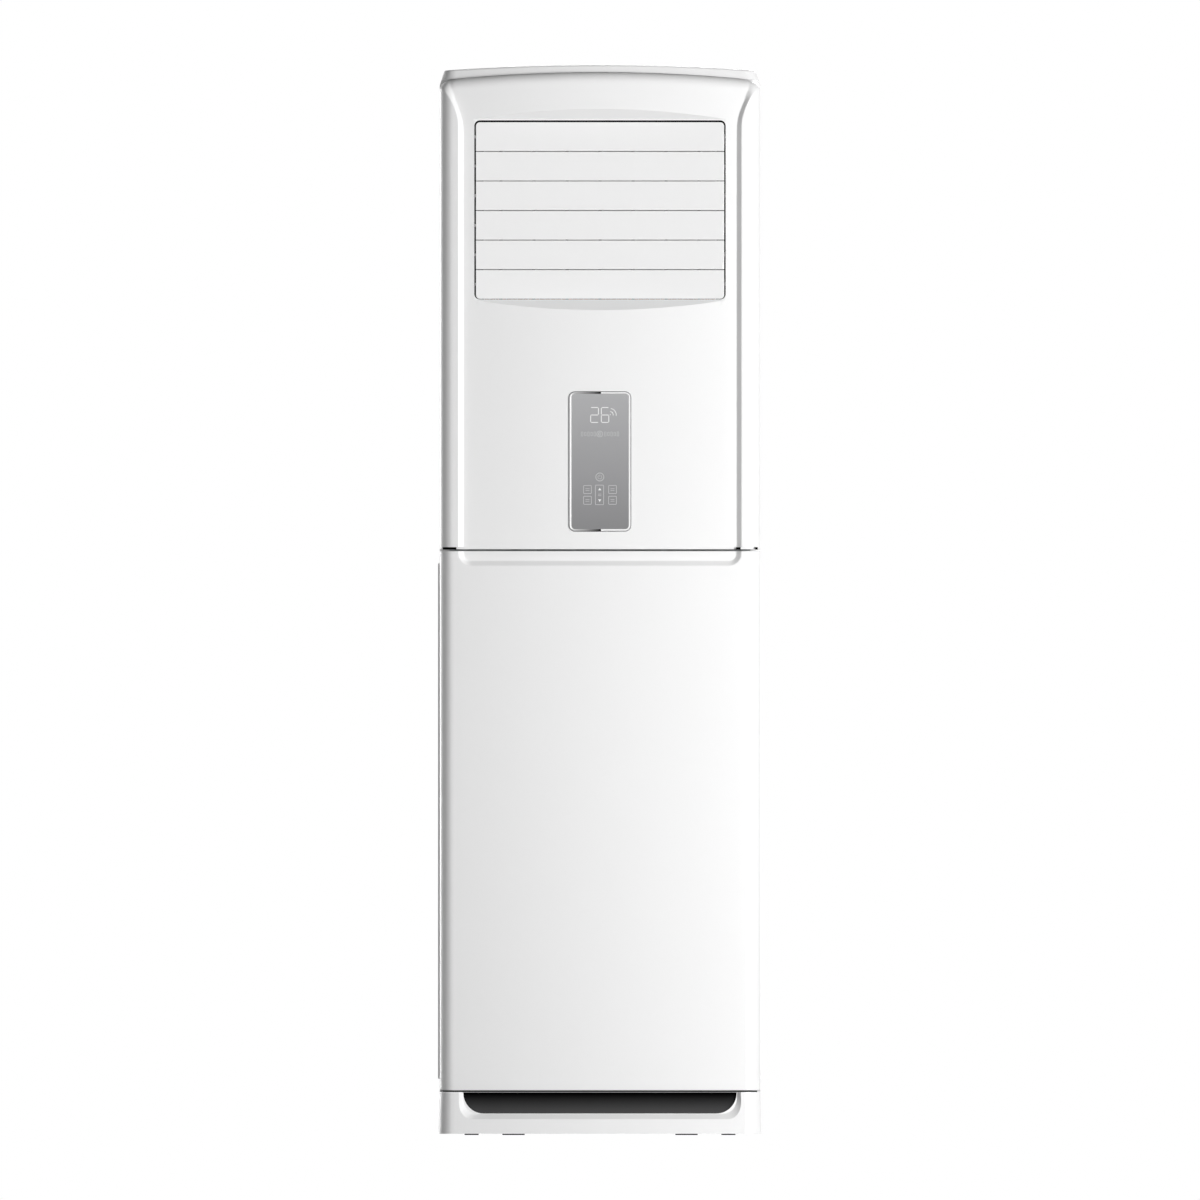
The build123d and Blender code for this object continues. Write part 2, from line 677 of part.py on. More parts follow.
for number in range(1, VANES + 1):
    PARTS[f"louver_{number}"] = louver(number)
PARTS["louver_link"] = louver_link()
PARTS["louver_crank"] = louver_crank()


# ---- deflector blades and their link ----------------------------------------------------
def blade_x(index):
    """Place of an upright deflector blade, counted from 1 at the left."""
    return (index - (BLADES + 1) / 2) * BLADE_PITCH


DRIVEN_BLADE = (BLADES + 1) // 2
BLADE_Z0 = DUCT_FLOOR + BLADE_FOOT
BLADE_Z1 = DUCT_TOP - BLADE_HEAD
LINK_Z = BLADE_Z0 - FIT - LINK_T


def deflector(index):
    """Upright blade with pins at both ends and a crank pin under its foot."""
    x = blade_x(index)
    outline = Pos(x, BLADE_Y) * rounded(BLADE_T, BLADE_D, BLADE_EDGE_R)
    blade = tower(outline, BLADE_Z0, BLADE_Z1)
    driven = SWING_BITE if index == DRIVEN_BLADE else 0
    boss = rod_z(PIVOT_RIB_R, BLADE_Z0, BLADE_Z0 + BLADE_FOOT, x, BLADE_Y)
    head = rod_z(PIVOT_RIB_R, BLADE_Z1 - BLADE_FOOT, BLADE_Z1, x, BLADE_Y)
    pin = rod_z(PIVOT_R, DUCT_FLOOR - DUCT_WALL - driven, DUCT_TOP + DUCT_WALL, x, BLADE_Y)
    foot = rod_z(PIVOT_RIB_R, BLADE_Z0, BLADE_Z0 + BLADE_FOOT, x, BLADE_Y + CRANK)
    crank = rod_z(CRANK_R, LINK_Z - ARM_T / 2, BLADE_Z0, x, BLADE_Y + CRANK)
    return blade + boss + head + pin + foot + crank


def deflector_link():
    """Bar that joins the crank pins of all the blades."""
    span = blade_x(BLADES) - blade_x(1)
    bar = tower(Pos(0, BLADE_Y + CRANK) * SlotCenterToCenter(span, LINK_W), LINK_Z, LINK_Z + LINK_T)
    for index in range(1, BLADES + 1):
        bar -= rod_z(CRANK_R + RUN, LINK_Z - LINK_T, BLADE_Z0, blade_x(index), BLADE_Y + CRANK)
    return bar


for number in range(1, BLADES + 1):
    PARTS[f"deflector_{number}"] = deflector(number)
PARTS["deflector_link"] = deflector_link()


# ---- outlet frame and swing motors ------------------------------------------------------
def outlet_frame():
    """Duct behind the outlet with the bearings of louvres and blades, and its bulkhead."""
    low = DUCT_FLOOR - DUCT_WALL
    high = DUCT_TOP + DUCT_WALL
    half = DUCT_HALF + DUCT_WALL
    frame = block(-half, half, DUCT_FRONT_Y, DUCT_BACK_Y, low, high)
    frame += block(-IN_X, IN_X, DUCT_BACK_Y - DUCT_WALL, DUCT_BACK_Y, low - BULKHEAD_REACH,
                   high + BULKHEAD_REACH)
    frame -= block(-DUCT_HALF, DUCT_HALF, -BODY_D, BODY_D, DUCT_FLOOR, DUCT_TOP)
    for index in range(1, VANES + 1):
        frame -= rod_x(PIVOT_R + RUN, -BODY_W, BODY_W, PIVOT_Y, pivot_z(index))
    for index in range(1, BLADES + 1):
        frame -= rod_z(PIVOT_R + RUN, low - 1, high + 1, blade_x(index), BLADE_Y)
    return frame - rod_x(PIVOT_R + RUN, 0, BODY_W, PIVOT_Y + DRIVE_BACK, DRIVE_Z)


def swing_motor(face):
    """Small geared motor with two ears; face is the plane of its mounting side."""
    can = extrude(face * Circle(SWING_R), amount=SWING_T)
    ears = face * SlotCenterToCenter(2 * SWING_EAR, 2 * SWING_EAR_R)
    can += extrude(ears, amount=SWING_EAR_T)
    can -= extrude(face * Circle(PIVOT_R + RUN), amount=SWING_BITE + FIT)
    return can


LOUVER_MOTOR_FACE = Plane(
    origin=(DUCT_HALF + DUCT_WALL, PIVOT_Y + DRIVE_BACK, DRIVE_Z), x_dir=(0, 0, 1), z_dir=(1, 0, 0))
DEFLECTOR_MOTOR_FACE = Plane(
    origin=(blade_x(DRIVEN_BLADE), BLADE_Y, DUCT_FLOOR - DUCT_WALL), x_dir=(1, 0, 0), z_dir=(0, 0, -1))

PARTS["outlet_frame"] = outlet_frame()
PARTS["swing_motors"] = group([swing_motor(LOUVER_MOTOR_FACE), swing_motor(DEFLECTOR_MOTOR_FACE)])


# ---- display ----------------------------------------------------------------------------
BEZEL_Y = bow(RECESS, 0) - BEZEL_PROUD
CARRIER_Y = bow(RECESS + WALL, DISPLAY_W / 2 + CARRIER_MARGIN) + FIT
GLASS_W = DISPLAY_W - 2 * BEZEL_RING
GLASS_H = DISPLAY_H - 2 * BEZEL_RING
GLASS_R = DISPLAY_R - BEZEL_RING


def display_outline(width, height, radius):
    """Rounded rectangle at the display's place."""
    return Pos(0, DISPLAY_MID_Z) * rounded(width, height, radius)


def display_bezel():
    """Bright frame round the display glass."""
    outer = display_outline(DISPLAY_W, DISPLAY_H, DISPLAY_R)
    inner = display_outline(GLASS_W + 2 * FIT, GLASS_H + 2 * FIT, GLASS_R + FIT)
    ring = plate_y(outer, BEZEL_Y, CARRIER_Y) - plate_y(inner, BEZEL_Y - 1, CARRIER_Y)
    lip = ring.faces().sort_by(Axis.Y)[0].outer_wire().edges()
    return chamfer(lip, BEZEL_PROUD / 2)


def display_carrier():
    """Tray behind the panel that holds bezel, glass and circuit board."""
    y0 = CARRIER_Y
    y1 = y0 + CARRIER_D
    width = DISPLAY_W + 2 * CARRIER_MARGIN
    height = DISPLAY_H + 2 * CARRIER_MARGIN
    tray = plate_y(display_outline(width, height, DISPLAY_R), y0, y1)
    hollow = display_outline(width - 2 * TRAY_WALL, height - 2 * TRAY_WALL, DISPLAY_R - TRAY_WALL)
    tray -= plate_y(hollow, y0 + TRAY_WALL, y1)
    window = display_outline(GLASS_W - 2 * BEZEL_RING, GLASS_H - 2 * BEZEL_RING, GLASS_R)
    return tray - plate_y(window, y0, y1)


def display_board():
    """Circuit board of the display, seated in its tray."""
    y0 = CARRIER_Y + TRAY_WALL
    width = DISPLAY_W + 2 * CARRIER_MARGIN - 2 * TRAY_WALL - 2 * FIT
    height = DISPLAY_H + 2 * CARRIER_MARGIN - 2 * TRAY_WALL - 2 * FIT
    return plate_y(display_outline(width, height, DISPLAY_R - TRAY_WALL - FIT), y0, y0 + BOARD_T)


def display_glass():
    """Tinted glass plate inside the bezel, down to the tray."""
    outline = display_outline(GLASS_W, GLASS_H, GLASS_R)
    return plate_y(outline, BEZEL_Y + GLASS_SET, CARRIER_Y)


PARTS["display_bezel"] = display_bezel()
PARTS["display_glass"] = display_glass()
PARTS["display_carrier"] = display_carrier()
PARTS["display_board"] = display_board()


# ---- base -------------------------------------------------------------------------------
def sheet_tray(x0, x1, y0, y1, z0, height, sheet):
    """Open tray folded from sheet."""
    tray = block(x0, x1, y0, y1, z0, z0 + height)
    return tray - block(x0 + sheet, x1 - sheet, y0 + sheet, y1 - sheet, z0 + sheet, z0 + 2 * height)


CASE_Z = PLINTH_TOP + FIT


def pan_form(inset):
    """Base pan seen from above, set back from the inside of the plinth."""
    gap = FIT + inset
    return plan(PLINTH_FRONT_WALL + gap, WALL + gap, CORNER_R - WALL - gap, BACK_Y - WALL - gap)


def base_pan():
    """Pressed tray that everything stands on, with four anchor holes."""
    pan = tower(pan_form(0), FOOT_H, FOOT_H + PAN_EDGE_H)
    pan -= tower(pan_form(SHEET), FOOT_H + SHEET, FOOT_H + 2 * PAN_EDGE_H)
    for x in (-ANCHOR_X / 2, ANCHOR_X / 2):
        for y in (ANCHOR_MID_Y - ANCHOR_Y / 2, ANCHOR_MID_Y + ANCHOR_Y / 2):
            pan -= rod_z(ANCHOR_R, 0, PAN_EDGE_H, x, y)
    return pan


def rubber_feet():
    """Eight pads under the base: a narrow and a wide one at each corner."""
    pads = []
    for x, width in ((PAD_NARROW_X, PAD_NARROW), (PAD_WIDE_X, PAD_WIDE)):
        pad = rounded(width, PAD_D, PAD_R)
        for side in (-1, 1):
            for y in (PAD_FRONT_Y, PAD_BACK_Y):
                pads.append(tower(Pos(side * x, y) * pad, 0, FOOT_H))
    return group(pads)


PARTS["base_pan"] = base_pan()
PARTS["rubber_feet"] = rubber_feet()


# ---- side panels, grilles and filters ---------------------------------------------------
WINDOW_Y0 = GRILLE_Y0 + GRILLE_LIP
WINDOW_Y1 = GRILLE_Y1 - GRILLE_LIP
WINDOW_Z0 = GRILLE_BOTTOM + GRILLE_LIP
WINDOW_Z1 = GRILLE_TOP - GRILLE_LIP
SIDE_TOP = SKIRT_Z - FIT
SCREW_X = HALF_W - FLANGE / 2


def screw_rows():
    """Heights of the back panel's screws."""
    first = CASE_Z + FLANGE
    step = (SIDE_TOP - FLANGE - first) / (SCREW_ROWS - 1)
    return [first + row * step for row in range(SCREW_ROWS)]


def side_panel():
    """Right side panel: sheet with a folded edge front and back and the grille window."""
    outer = block(HALF_W - FLANGE, HALF_W, SIDE_FRONT_Y, IN_Y, CASE_Z, SIDE_TOP)
    inner = block(0, HALF_W - SHEET, SIDE_FRONT_Y + SHEET, IN_Y - SHEET, 0, HEIGHT)
    panel = outer - inner
    panel -= block(HALF_W - FLANGE, BODY_W, WINDOW_Y0, WINDOW_Y1, WINDOW_Z0, WINDOW_Z1)
    for z in screw_rows():
        panel -= rod_y(SCREW_HOLE_R, 0, BODY_D, SCREW_X, z)
    return panel


def grille_slots():
    """Slots of the grille as a flat pattern: y and z, in two columns."""
    y_mid = (GRILLE_Y0 + GRILLE_Y1) / 2
    width = (GRILLE_Y1 - GRILLE_Y0) / 2 - SLOT_MARGIN - SLOT_MULLION / 2
    rows = int((GRILLE_TOP - GRILLE_BOTTOM - 2 * SLOT_MARGIN) // SLOT_PITCH)
    first = (GRILLE_BOTTOM + GRILLE_TOP - (rows - 1) * SLOT_PITCH) / 2
    slots = []
    for row in range(rows):
        for side in (-1, 1):
            y = y_mid + side * (width + SLOT_MULLION) / 2
            slots.append(Pos(y, first + row * SLOT_PITCH) * Rectangle(width, SLOT_H))
    return slots


def side_grille():
    """Right intake grille: proud slotted plate with a collar through the window."""
    x0 = HALF_W + SEAT
    plate = block(x0, HALF_W + GRILLE_PROUD, GRILLE_Y0, GRILLE_Y1, GRILLE_BOTTOM, GRILLE_TOP)
    plate = chamfer(plate.faces().sort_by(Axis.X)[-1].edges(), GRILLE_EDGE)
    y0 = WINDOW_Y0 + FIT
    y1 = WINDOW_Y1 - FIT
    z0 = WINDOW_Z0 + FIT
    z1 = WINDOW_Z1 - FIT
    collar = block(FILTER_X - WALL, x0, y0, y1, z0, z1)
    collar -= block(0, BODY_W, y0 + TRAY_WALL, y1 - TRAY_WALL, z0 + TRAY_WALL, z1 - TRAY_WALL)
    side = Plane(origin=(FILTER_X - WALL, 0, 0), x_dir=(0, 1, 0), z_dir=(1, 0, 0))
    cuts = extrude(side * (Sketch() + grille_slots()), amount=BODY_W / 4)
    return plate - cuts + collar


FILTER_X = HALF_W - SHEET - FILTER_T - FIT


def air_filter():
    """Right air filter: frame with cross bars, seated in the grille's collar."""
    margin = FIT + TRAY_WALL + FIT
    y0 = WINDOW_Y0 + margin
    y1 = WINDOW_Y1 - margin
    z0 = WINDOW_Z0 + margin
    z1 = WINDOW_Z1 - margin
    frame = block(FILTER_X, FILTER_X + FILTER_T, y0, y1, z0, z1)
    frame -= block(0, BODY_W, y0 + FILTER_FRAME, y1 - FILTER_FRAME, z0 + FILTER_FRAME, z1 - FILTER_FRAME)
    bars = int((z1 - z0 - 2 * FILTER_FRAME) // FILTER_PITCH)
    step = (z1 - z0 - 2 * FILTER_FRAME) / (bars + 1)
    mid_x = FILTER_X + FILTER_T / 2
    mid_y = (y0 + y1) / 2
    half = FILTER_BAR / 2
    frame += block(mid_x - half, mid_x + half, mid_y - half, mid_y + half, z0, z1)
    for bar in range(1, bars + 1):
        z = z0 + FILTER_FRAME + bar * step
        frame += block(mid_x - half, mid_x + half, y0, y1, z - half, z + half)
    return frame


PARTS["side_panel_right"] = side_panel()
PARTS["side_panel_left"] = mirror(PARTS["side_panel_right"], Plane.YZ)
PARTS["side_grille_right"] = side_grille()
PARTS["side_grille_left"] = mirror(PARTS["side_grille_right"], Plane.YZ)
PARTS["air_filters"] = both_sides(air_filter())


# ---- back -------------------------------------------------------------------------------
SKIN_Y = BACK_Y - SHEET
BRACKET_Y1 = BACK_Y + BRACKET_T


def back_outline(x, z, width, height, radius):
    """Rounded rectangle on the back."""
    return Pos(x, z) * rounded(width, height, radius)


def back_panel():
    """Back sheet with pressed panels, pipe exit, hose hole and screw holes."""
    panel = block(-HALF_W, HALF_W, SKIN_Y, BACK_Y, CASE_Z, SIDE_TOP)
    for column in range(BEAD_COLS):
        x = (column - (BEAD_COLS - 1) / 2) * (BEAD_W + BEAD_GAP_X)
        for row in range(BEAD_ROWS):
            z = BEAD_Z0 + BEAD_H / 2 + row * (BEAD_H + BEAD_GAP_Z)
            bulge = back_outline(x, z, BEAD_W, BEAD_H, BEAD_R)
            hollow = back_outline(x, z, BEAD_W - 2 * SHEET, BEAD_H - 2 * SHEET, BEAD_R - SHEET)
            panel += plate_y(bulge, SKIN_Y - BEAD_DEPTH, BACK_Y)
            panel -= plate_y(hollow, BACK_Y - BEAD_DEPTH, BACK_Y)
    hole = back_outline(COVER_X, COVER_Z, COVER_W - 2 * COVER_LAP, COVER_H - 2 * COVER_LAP, COVER_LAP)
    panel -= plate_y(hole, 0, BODY_D)
    panel -= rod_y(HOSE_R + GROMMET_LIP, 0, BODY_D, HOSE_X, HOSE_OUT_Z)
    for x in (-BRACKET_SPACING / 2, BRACKET_SPACING / 2):
        panel -= rod_y(BRACKET_HOLE_R, 0, BODY_D, x, BRACKET_Z)
    for x, z in screw_places():
        panel -= rod_y(SCREW_HOLE_R, 0, BODY_D, x, z)
    return panel


def screw_places():
    """Screws of the back panel's edges, of the exit cover and of the wall strip."""
    places = []
    for z in screw_rows():
        places += [(-SCREW_X, z), (SCREW_X, z)]
    cover_x = COVER_W / 2 - COVER_LAP / 2
    places += [(COVER_X - cover_x, COVER_Z), (COVER_X + cover_x, COVER_Z)]
    strip_x = BRACKET_W / 2 - FLANGE
    return places + [(-strip_x, BRACKET_Z), (0, BRACKET_Z), (strip_x, BRACKET_Z)]


def head_face(x, z):
    """Plane that a screw's head lies on: the sheet, or the plate over it."""
    over_cover = abs(x - COVER_X) < COVER_W / 2 and abs(z - COVER_Z) < COVER_H / 2
    if over_cover:
        return BACK_Y + SEAT + COVER_T
    if abs(z - BRACKET_Z) < 1 and abs(x) < BRACKET_W / 2:
        return BACK_Y + BRACKET_T
    return BACK_Y


def screws():
    """Pan-head screws of the back, a separate solid each."""
    solids = []
    for x, z in screw_places():
        y = head_face(x, z)
        height = FLAT_HEAD_H if y > BACK_Y else SCREW_HEAD_H
        head = rod_y(SCREW_HEAD_R, y, y + height, x, z)
        solids.append(head + rod_y(SCREW_R, y - SCREW_L, y, x, z))
    return group(solids)


def exit_cover():
    """Plate over the pipe exit, with two knock-out rings."""
    plate = plate_y(back_outline(COVER_X, COVER_Z, COVER_W, COVER_H, COVER_LAP / 2),
                    BACK_Y + SEAT, BACK_Y + SEAT + COVER_T)
    for x, radius in ((COVER_X - COVER_LEFT, 2 * GAS_R), (COVER_X + COVER_RIGHT, GAS_R)):
        ring = rod_y(radius + 1, BACK_Y + COVER_T / 2, BODY_D, x, COVER_Z)
        plate -= ring - rod_y(radius, 0, BODY_D, x, COVER_Z)
    for x in (COVER_X - COVER_W / 2 + COVER_LAP / 2, COVER_X + COVER_W / 2 - COVER_LAP / 2):
        plate -= rod_y(SCREW_HOLE_R, 0, BODY_D, x, COVER_Z)
    return plate


def wall_bracket():
    """Anti-tip strip with two holes for wall screws."""
    strip = plate_y(back_outline(0, BRACKET_Z, BRACKET_W, BRACKET_H, BRACKET_T * 2),
                    BACK_Y, BRACKET_Y1)
    for x in (-BRACKET_SPACING / 2, BRACKET_SPACING / 2):
        strip -= rod_y(BRACKET_HOLE_R, 0, BODY_D, x, BRACKET_Z)
    for x, z in screw_places()[-3:]:
        strip -= rod_y(SCREW_HOLE_R, 0, BODY_D, x, z)
    return strip


PARTS["back_panel"] = back_panel()
PARTS["panel_screws"] = screws()
PARTS["pipe_exit_cover"] = exit_cover()
PARTS["wall_bracket"] = wall_bracket()


# ---- deck, rail and drain tray ----------------------------------------------------------
SCROLL_BACK = SCROLL_Y + SCROLL_D
THROAT_RIGHT = FAN_X + VOLUTE_R + 3 * VOLUTE_STEP
INSIDE_Y0 = SIDE_FRONT_Y + SHEET + FIT
DECK_UNDER = DECK_Z - SHEET
SPOUT_R = HOSE_BORE_R - RUN


def fan_deck():
    """Shelf over the fan space, open above the scroll's outlet."""
    deck = block(-IN_X, IN_X, INSIDE_Y0, IN_Y - SHEET - FIT, DECK_UNDER, DECK_Z)
    deck -= block(THROAT_X, THROAT_RIGHT, SCROLL_Y, SCROLL_BACK, 0, HEIGHT)
    deck -= rod_z(HOSE_R + FIT, 0, HEIGHT, HOSE_X, HOSE_Y)
    for u, radius in ((-1, LIQUID_R), (1, GAS_R)):
        deck -= rod_z(radius + 2 * FIT, 0, HEIGHT, PIPE_X, coil_point(u * TUBE_ROWS_GAP / 2, LOW_TUBE)[0])
    return deck


def front_rail():
    """Channel across the seam that both front mouldings are fixed to."""
    y0 = INSIDE_Y0
    rail = block(-IN_X, IN_X, y0, y0 + RAIL_D, RAIL_Z0, RAIL_Z0 + RAIL_H)
    return rail - block(-BODY_W, BODY_W, y0 + SHEET, BODY_D, RAIL_Z0 + SHEET, RAIL_Z0 + RAIL_H - SHEET)


def drain_tray():
    """Condensate tray under the coil, with its spout."""
    tray = sheet_tray(TRAY_X0, TRAY_X1, TRAY_Y0, TRAY_Y1, DECK_Z, TRAY_H, TRAY_WALL)
    tray += rod_z(SPOUT_R, DECK_Z - SPOUT_L, DECK_Z + TRAY_WALL, HOSE_X, HOSE_Y)
    return tray - rod_z(SPOUT_R - SPOUT_WALL, 0, HEIGHT, HOSE_X, HOSE_Y)


# ---- evaporator -------------------------------------------------------------------------
LOW_TUBE = -(TUBES - 1) / 2 * TUBE_PITCH
BEND_X = COIL_HALF + FIT + END_PLATE_T + TUBE_STUB
COIL_FRAME = Plane(
    origin=(0, COIL_Y, COIL_Z), x_dir=(1, 0, 0),
    z_dir=(0, -math.cos(math.radians(COIL_TILT)), math.sin(math.radians(COIL_TILT))))


def coil_point(depth, along):
    """Y and z of a point of the coil: depth towards the back, along up the slope."""
    point = COIL_FRAME.from_local_coords(Vector(0, along, -depth))
    return point.Y, point.Z


def coil_slice(x0, thickness, width, length, holes):
    """Sheet across the coil, drilled for the tubes."""
    outline = Rectangle(width, length)
    for row in (-TUBE_ROWS_GAP / 2, TUBE_ROWS_GAP / 2):
        for tube in range(TUBES):
            place = Pos(row, LOW_TUBE + tube * TUBE_PITCH)
            outline -= place * Circle(holes)
    angle = math.radians(COIL_TILT)
    across = Plane(
        origin=(x0, COIL_Y, COIL_Z), x_dir=(0, math.cos(angle), -math.sin(angle)), z_dir=(1, 0, 0))
    return extrude(across * outline, amount=thickness)


def evaporator_fins():
    """Stack of thin fins on the tubes, a separate solid each."""
    count = int(2 * COIL_HALF // FIN_PITCH)
    first = -(count - 1) / 2 * FIN_PITCH - FIN_T / 2
    fin = coil_slice(first, FIN_T, COIL_D, COIL_L, TUBE_R + TUBE_FIT)
    return group([Pos(index * FIN_PITCH, 0, 0) * fin for index in range(count)])


def end_plate():
    """Right end plate of the coil, with tabs that reach the side panel."""
    x0 = COIL_HALF + FIT
    plate = coil_slice(x0, END_PLATE_T, COIL_D, COIL_L, TUBE_R + TUBE_FIT)
    low = -COIL_L / 2
    high = COIL_L / 2 - END_PLATE_T
    for z in (low, high):
        tab = block(x0, IN_X, -COIL_D / 2, COIL_D / 2, z, z + END_PLATE_T)
        plate += Pos(0, COIL_Y, COIL_Z) * Rot(-COIL_TILT, 0, 0) * tab
    for side, radius in ((-1, LIQUID_R), (1, GAS_R)):
        y = coil_point(side * TUBE_ROWS_GAP / 2, LOW_TUBE)[0]
        plate -= rod_z(radius + 2 * FIT, 0, COIL_Z, PIPE_X, y)
    return plate


def tube_row(depth):
    """One row of tubes joined by return bends, drawn in the slope of the coil."""
    edges = []
    for tube in range(TUBES):
        along = LOW_TUBE + tube * TUBE_PITCH
        side = -1 if tube % 2 == 0 else 1
        edges.append(Line((-side * BEND_X, along), (side * BEND_X, along)))
        if tube < TUBES - 1:
            middle = (side * (BEND_X + TUBE_PITCH / 2), along + TUBE_PITCH / 2)
            edges.append(ThreePointArc((side * BEND_X, along), middle, (side * BEND_X, along + TUBE_PITCH)))
    path = Curve() + edges
    start = Plane(origin=(BEND_X, LOW_TUBE, 0), z_dir=(-1, 0, 0))
    tube = sweep(start * Circle(TUBE_R), path=path)
    return COIL_FRAME * (Pos(0, 0, -depth) * tube)


def evaporator_tubes():
    """Both rows, joined at the top by one bend across the rows."""
    half = TUBE_ROWS_GAP / 2
    rows = tube_row(-half) + tube_row(half)
    top = Plane(origin=(BEND_X, -LOW_TUBE, half), x_dir=(0, 0, 1), z_dir=(1, 0, 0))
    bend = revolve(top * Circle(TUBE_R), Axis((BEND_X, -LOW_TUBE, 0), (0, 1, 0)), 180)
    return rows + COIL_FRAME * bend


# ---- refrigerant pipes and drain hose ---------------------------------------------------
def pipe(depth, radius, end_z):
    """Pipe from a row's lowest tube down to its union."""
    y, z = coil_point(depth, LOW_TUBE)
    path = FilletPolyline((BEND_X, y, z), (PIPE_X, y, z), (PIPE_X, y, end_z), radius=PIPE_BEND)
    start = Plane(origin=(BEND_X, y, z), z_dir=(1, 0, 0))
    return sweep(start * Circle(radius), path=path)


def flare_unions():
    """Two unions: a hexagon and a round threaded end that the site pipes screw onto."""
    solids = []
    for side, radius, hexagon, thread, end_z in UNIONS:
        y = coil_point(side * TUBE_ROWS_GAP / 2, LOW_TUBE)[0]
        top = end_z + HEX_H / 2
        body = tower(Pos(PIPE_X, y) * RegularPolygon(hexagon, 6), top - HEX_H, top)
        body += rod_z(thread, top - HEX_H - UNION_L, top - HEX_H, PIPE_X, y)
        body -= rod_z(radius + RUN, end_z, top, PIPE_X, y)
        body -= rod_z(radius - 1, 0, end_z, PIPE_X, y)
        solids.append(body)
    return group(solids)


def drain_hose():
    """Hose from the tray's spout down inside the case and out through the back."""
    path = FilletPolyline(
        (HOSE_X, HOSE_Y, DECK_Z - FIT), (HOSE_X, HOSE_Y, HOSE_OUT_Z), (HOSE_X, BACK_Y, HOSE_OUT_Z),
        radius=HOSE_BEND)
    start = Plane(origin=(HOSE_X, HOSE_Y, DECK_Z - FIT), z_dir=(0, 0, -1))
    return sweep(start * (Circle(HOSE_R) - Circle(HOSE_BORE_R)), path=path)


def hose_grommet():
    """Rubber ring that guides the hose through the back panel."""
    lip = BACK_Y + SEAT
    ring = rod_y(HOSE_R + GROMMET_LIP - FIT / 2, SKIN_Y - FIT, lip, HOSE_X, HOSE_OUT_Z)
    ring += rod_y(HOSE_R + 2 * GROMMET_LIP, lip, lip + COVER_T, HOSE_X, HOSE_OUT_Z)
    return ring - rod_y(HOSE_R + FIT / 2, 0, BODY_D, HOSE_X, HOSE_OUT_Z)


def hose_clips():
    """Clips that hold the hose to the left side panel's front fold."""
    solids = []
    pitch = (RAIL_Z0 - CLIP_DROP - CLIP_Z0) / (CLIPS - 1)
    for z in [CLIP_Z0 + index * pitch for index in range(CLIPS)]:
        ring = rod_z(HOSE_R + FIT / 2 + CLIP_T, z, z + CLIP_H, HOSE_X, HOSE_Y)
        x1 = HOSE_X - HOSE_R / 2
        web = block(x1 - CLIP_T, x1, INSIDE_Y0 + CLIP_T, HOSE_Y, z, z + CLIP_H)
        foot = block(-HALF_W + FLANGE - CLIP_H, x1, INSIDE_Y0, INSIDE_Y0 + CLIP_T, z, z + CLIP_H)
        clip = ring + web + foot
        solids.append(clip - rod_z(HOSE_R + FIT / 2, 0, HEIGHT, HOSE_X, HOSE_Y))
    return group(solids)


UNIONS = (
    (-1, LIQUID_R, LIQUID_HEX_R, LIQUID_UNION_R, LIQUID_END_Z),
    (1, GAS_R, GAS_HEX_R, GAS_UNION_R, GAS_END_Z))

PARTS["fan_deck"] = fan_deck()
PARTS["front_rail"] = front_rail()
PARTS["drain_tray"] = drain_tray()
PARTS["evaporator_fins"] = evaporator_fins()
PARTS["evaporator_plates"] = both_sides(end_plate())
PARTS["evaporator_tubes"] = evaporator_tubes()
PARTS["liquid_pipe"] = pipe(-TUBE_ROWS_GAP / 2, LIQUID_R, LIQUID_END_Z)
PARTS["gas_pipe"] = pipe(TUBE_ROWS_GAP / 2, GAS_R, GAS_END_Z)
PARTS["flare_unions"] = flare_unions()
PARTS["drain_hose"] = drain_hose()
PARTS["hose_grommet"] = hose_grommet()
PARTS["hose_clips"] = hose_clips()


# ---- fan --------------------------------------------------------------------------------
def volute(grow):
    """Scroll seen from the front: quarter arcs of growing radius, then the straight outlet."""
    r1 = VOLUTE_R + grow
    r2 = r1 + VOLUTE_STEP
    r3 = r2 + VOLUTE_STEP
    x2 = FAN_X + VOLUTE_STEP
    z3 = FAN_Z + VOLUTE_STEP
    angle = math.radians(TONGUE_DEG)
    tongue = (FAN_X + r1 * math.cos(angle), FAN_Z + r1 * math.sin(angle))
    half = math.radians((TONGUE_DEG + 180) / 2)
    mid = (FAN_X + r1 * math.cos(half), FAN_Z + r1 * math.sin(half))
    q = math.sqrt(0.5)
    left = (FAN_X - r1, FAN_Z)
    low = (x2, FAN_Z - r2)
    right = (x2 + r3, z3)
    top = DECK_UNDER - FIT
    path = Curve() + [
        ThreePointArc(tongue, mid, left),
        ThreePointArc(left, (x2 - r2 * q, FAN_Z - r2 * q), low),
        ThreePointArc(low, (x2 + r3 * q, z3 - r3 * q), right),
        Line(right, (x2 + r3, top)),
        Line((x2 + r3, top), (THROAT_X - grow, top)),
        Line((THROAT_X - grow, top), tongue)]
    return make_face(path)


def fan_scroll():
    """Scroll housing: front with the inlet, back with the motor hole, wall between them."""
    y1 = SCROLL_Y + SCROLL_D
    body = plate_y(volute(SCROLL_T), SCROLL_Y, y1)
    body -= plate_y(volute(0), SCROLL_Y + SCROLL_T, y1 - SCROLL_T)
    top = DECK_UNDER - FIT
    body -= block(THROAT_X, THROAT_RIGHT, SCROLL_Y + SCROLL_T, y1 - SCROLL_T, top - FLANGE, HEIGHT)
    body -= rod_y(INLET_R + INLET_ROLL / 2, SCROLL_Y - 1, SCROLL_Y + 2 * SCROLL_T, FAN_X, FAN_Z)
    body -= rod_y(MOTOR_BOSS_R + FIT, y1 - 2 * SCROLL_T, y1 + 1, FAN_X, FAN_Z)
    for x, z in foot_places():
        body -= rod_y(SCREW_HOLE_R, y1 - 2 * SCROLL_T, y1 + 1, x, z)
    return body


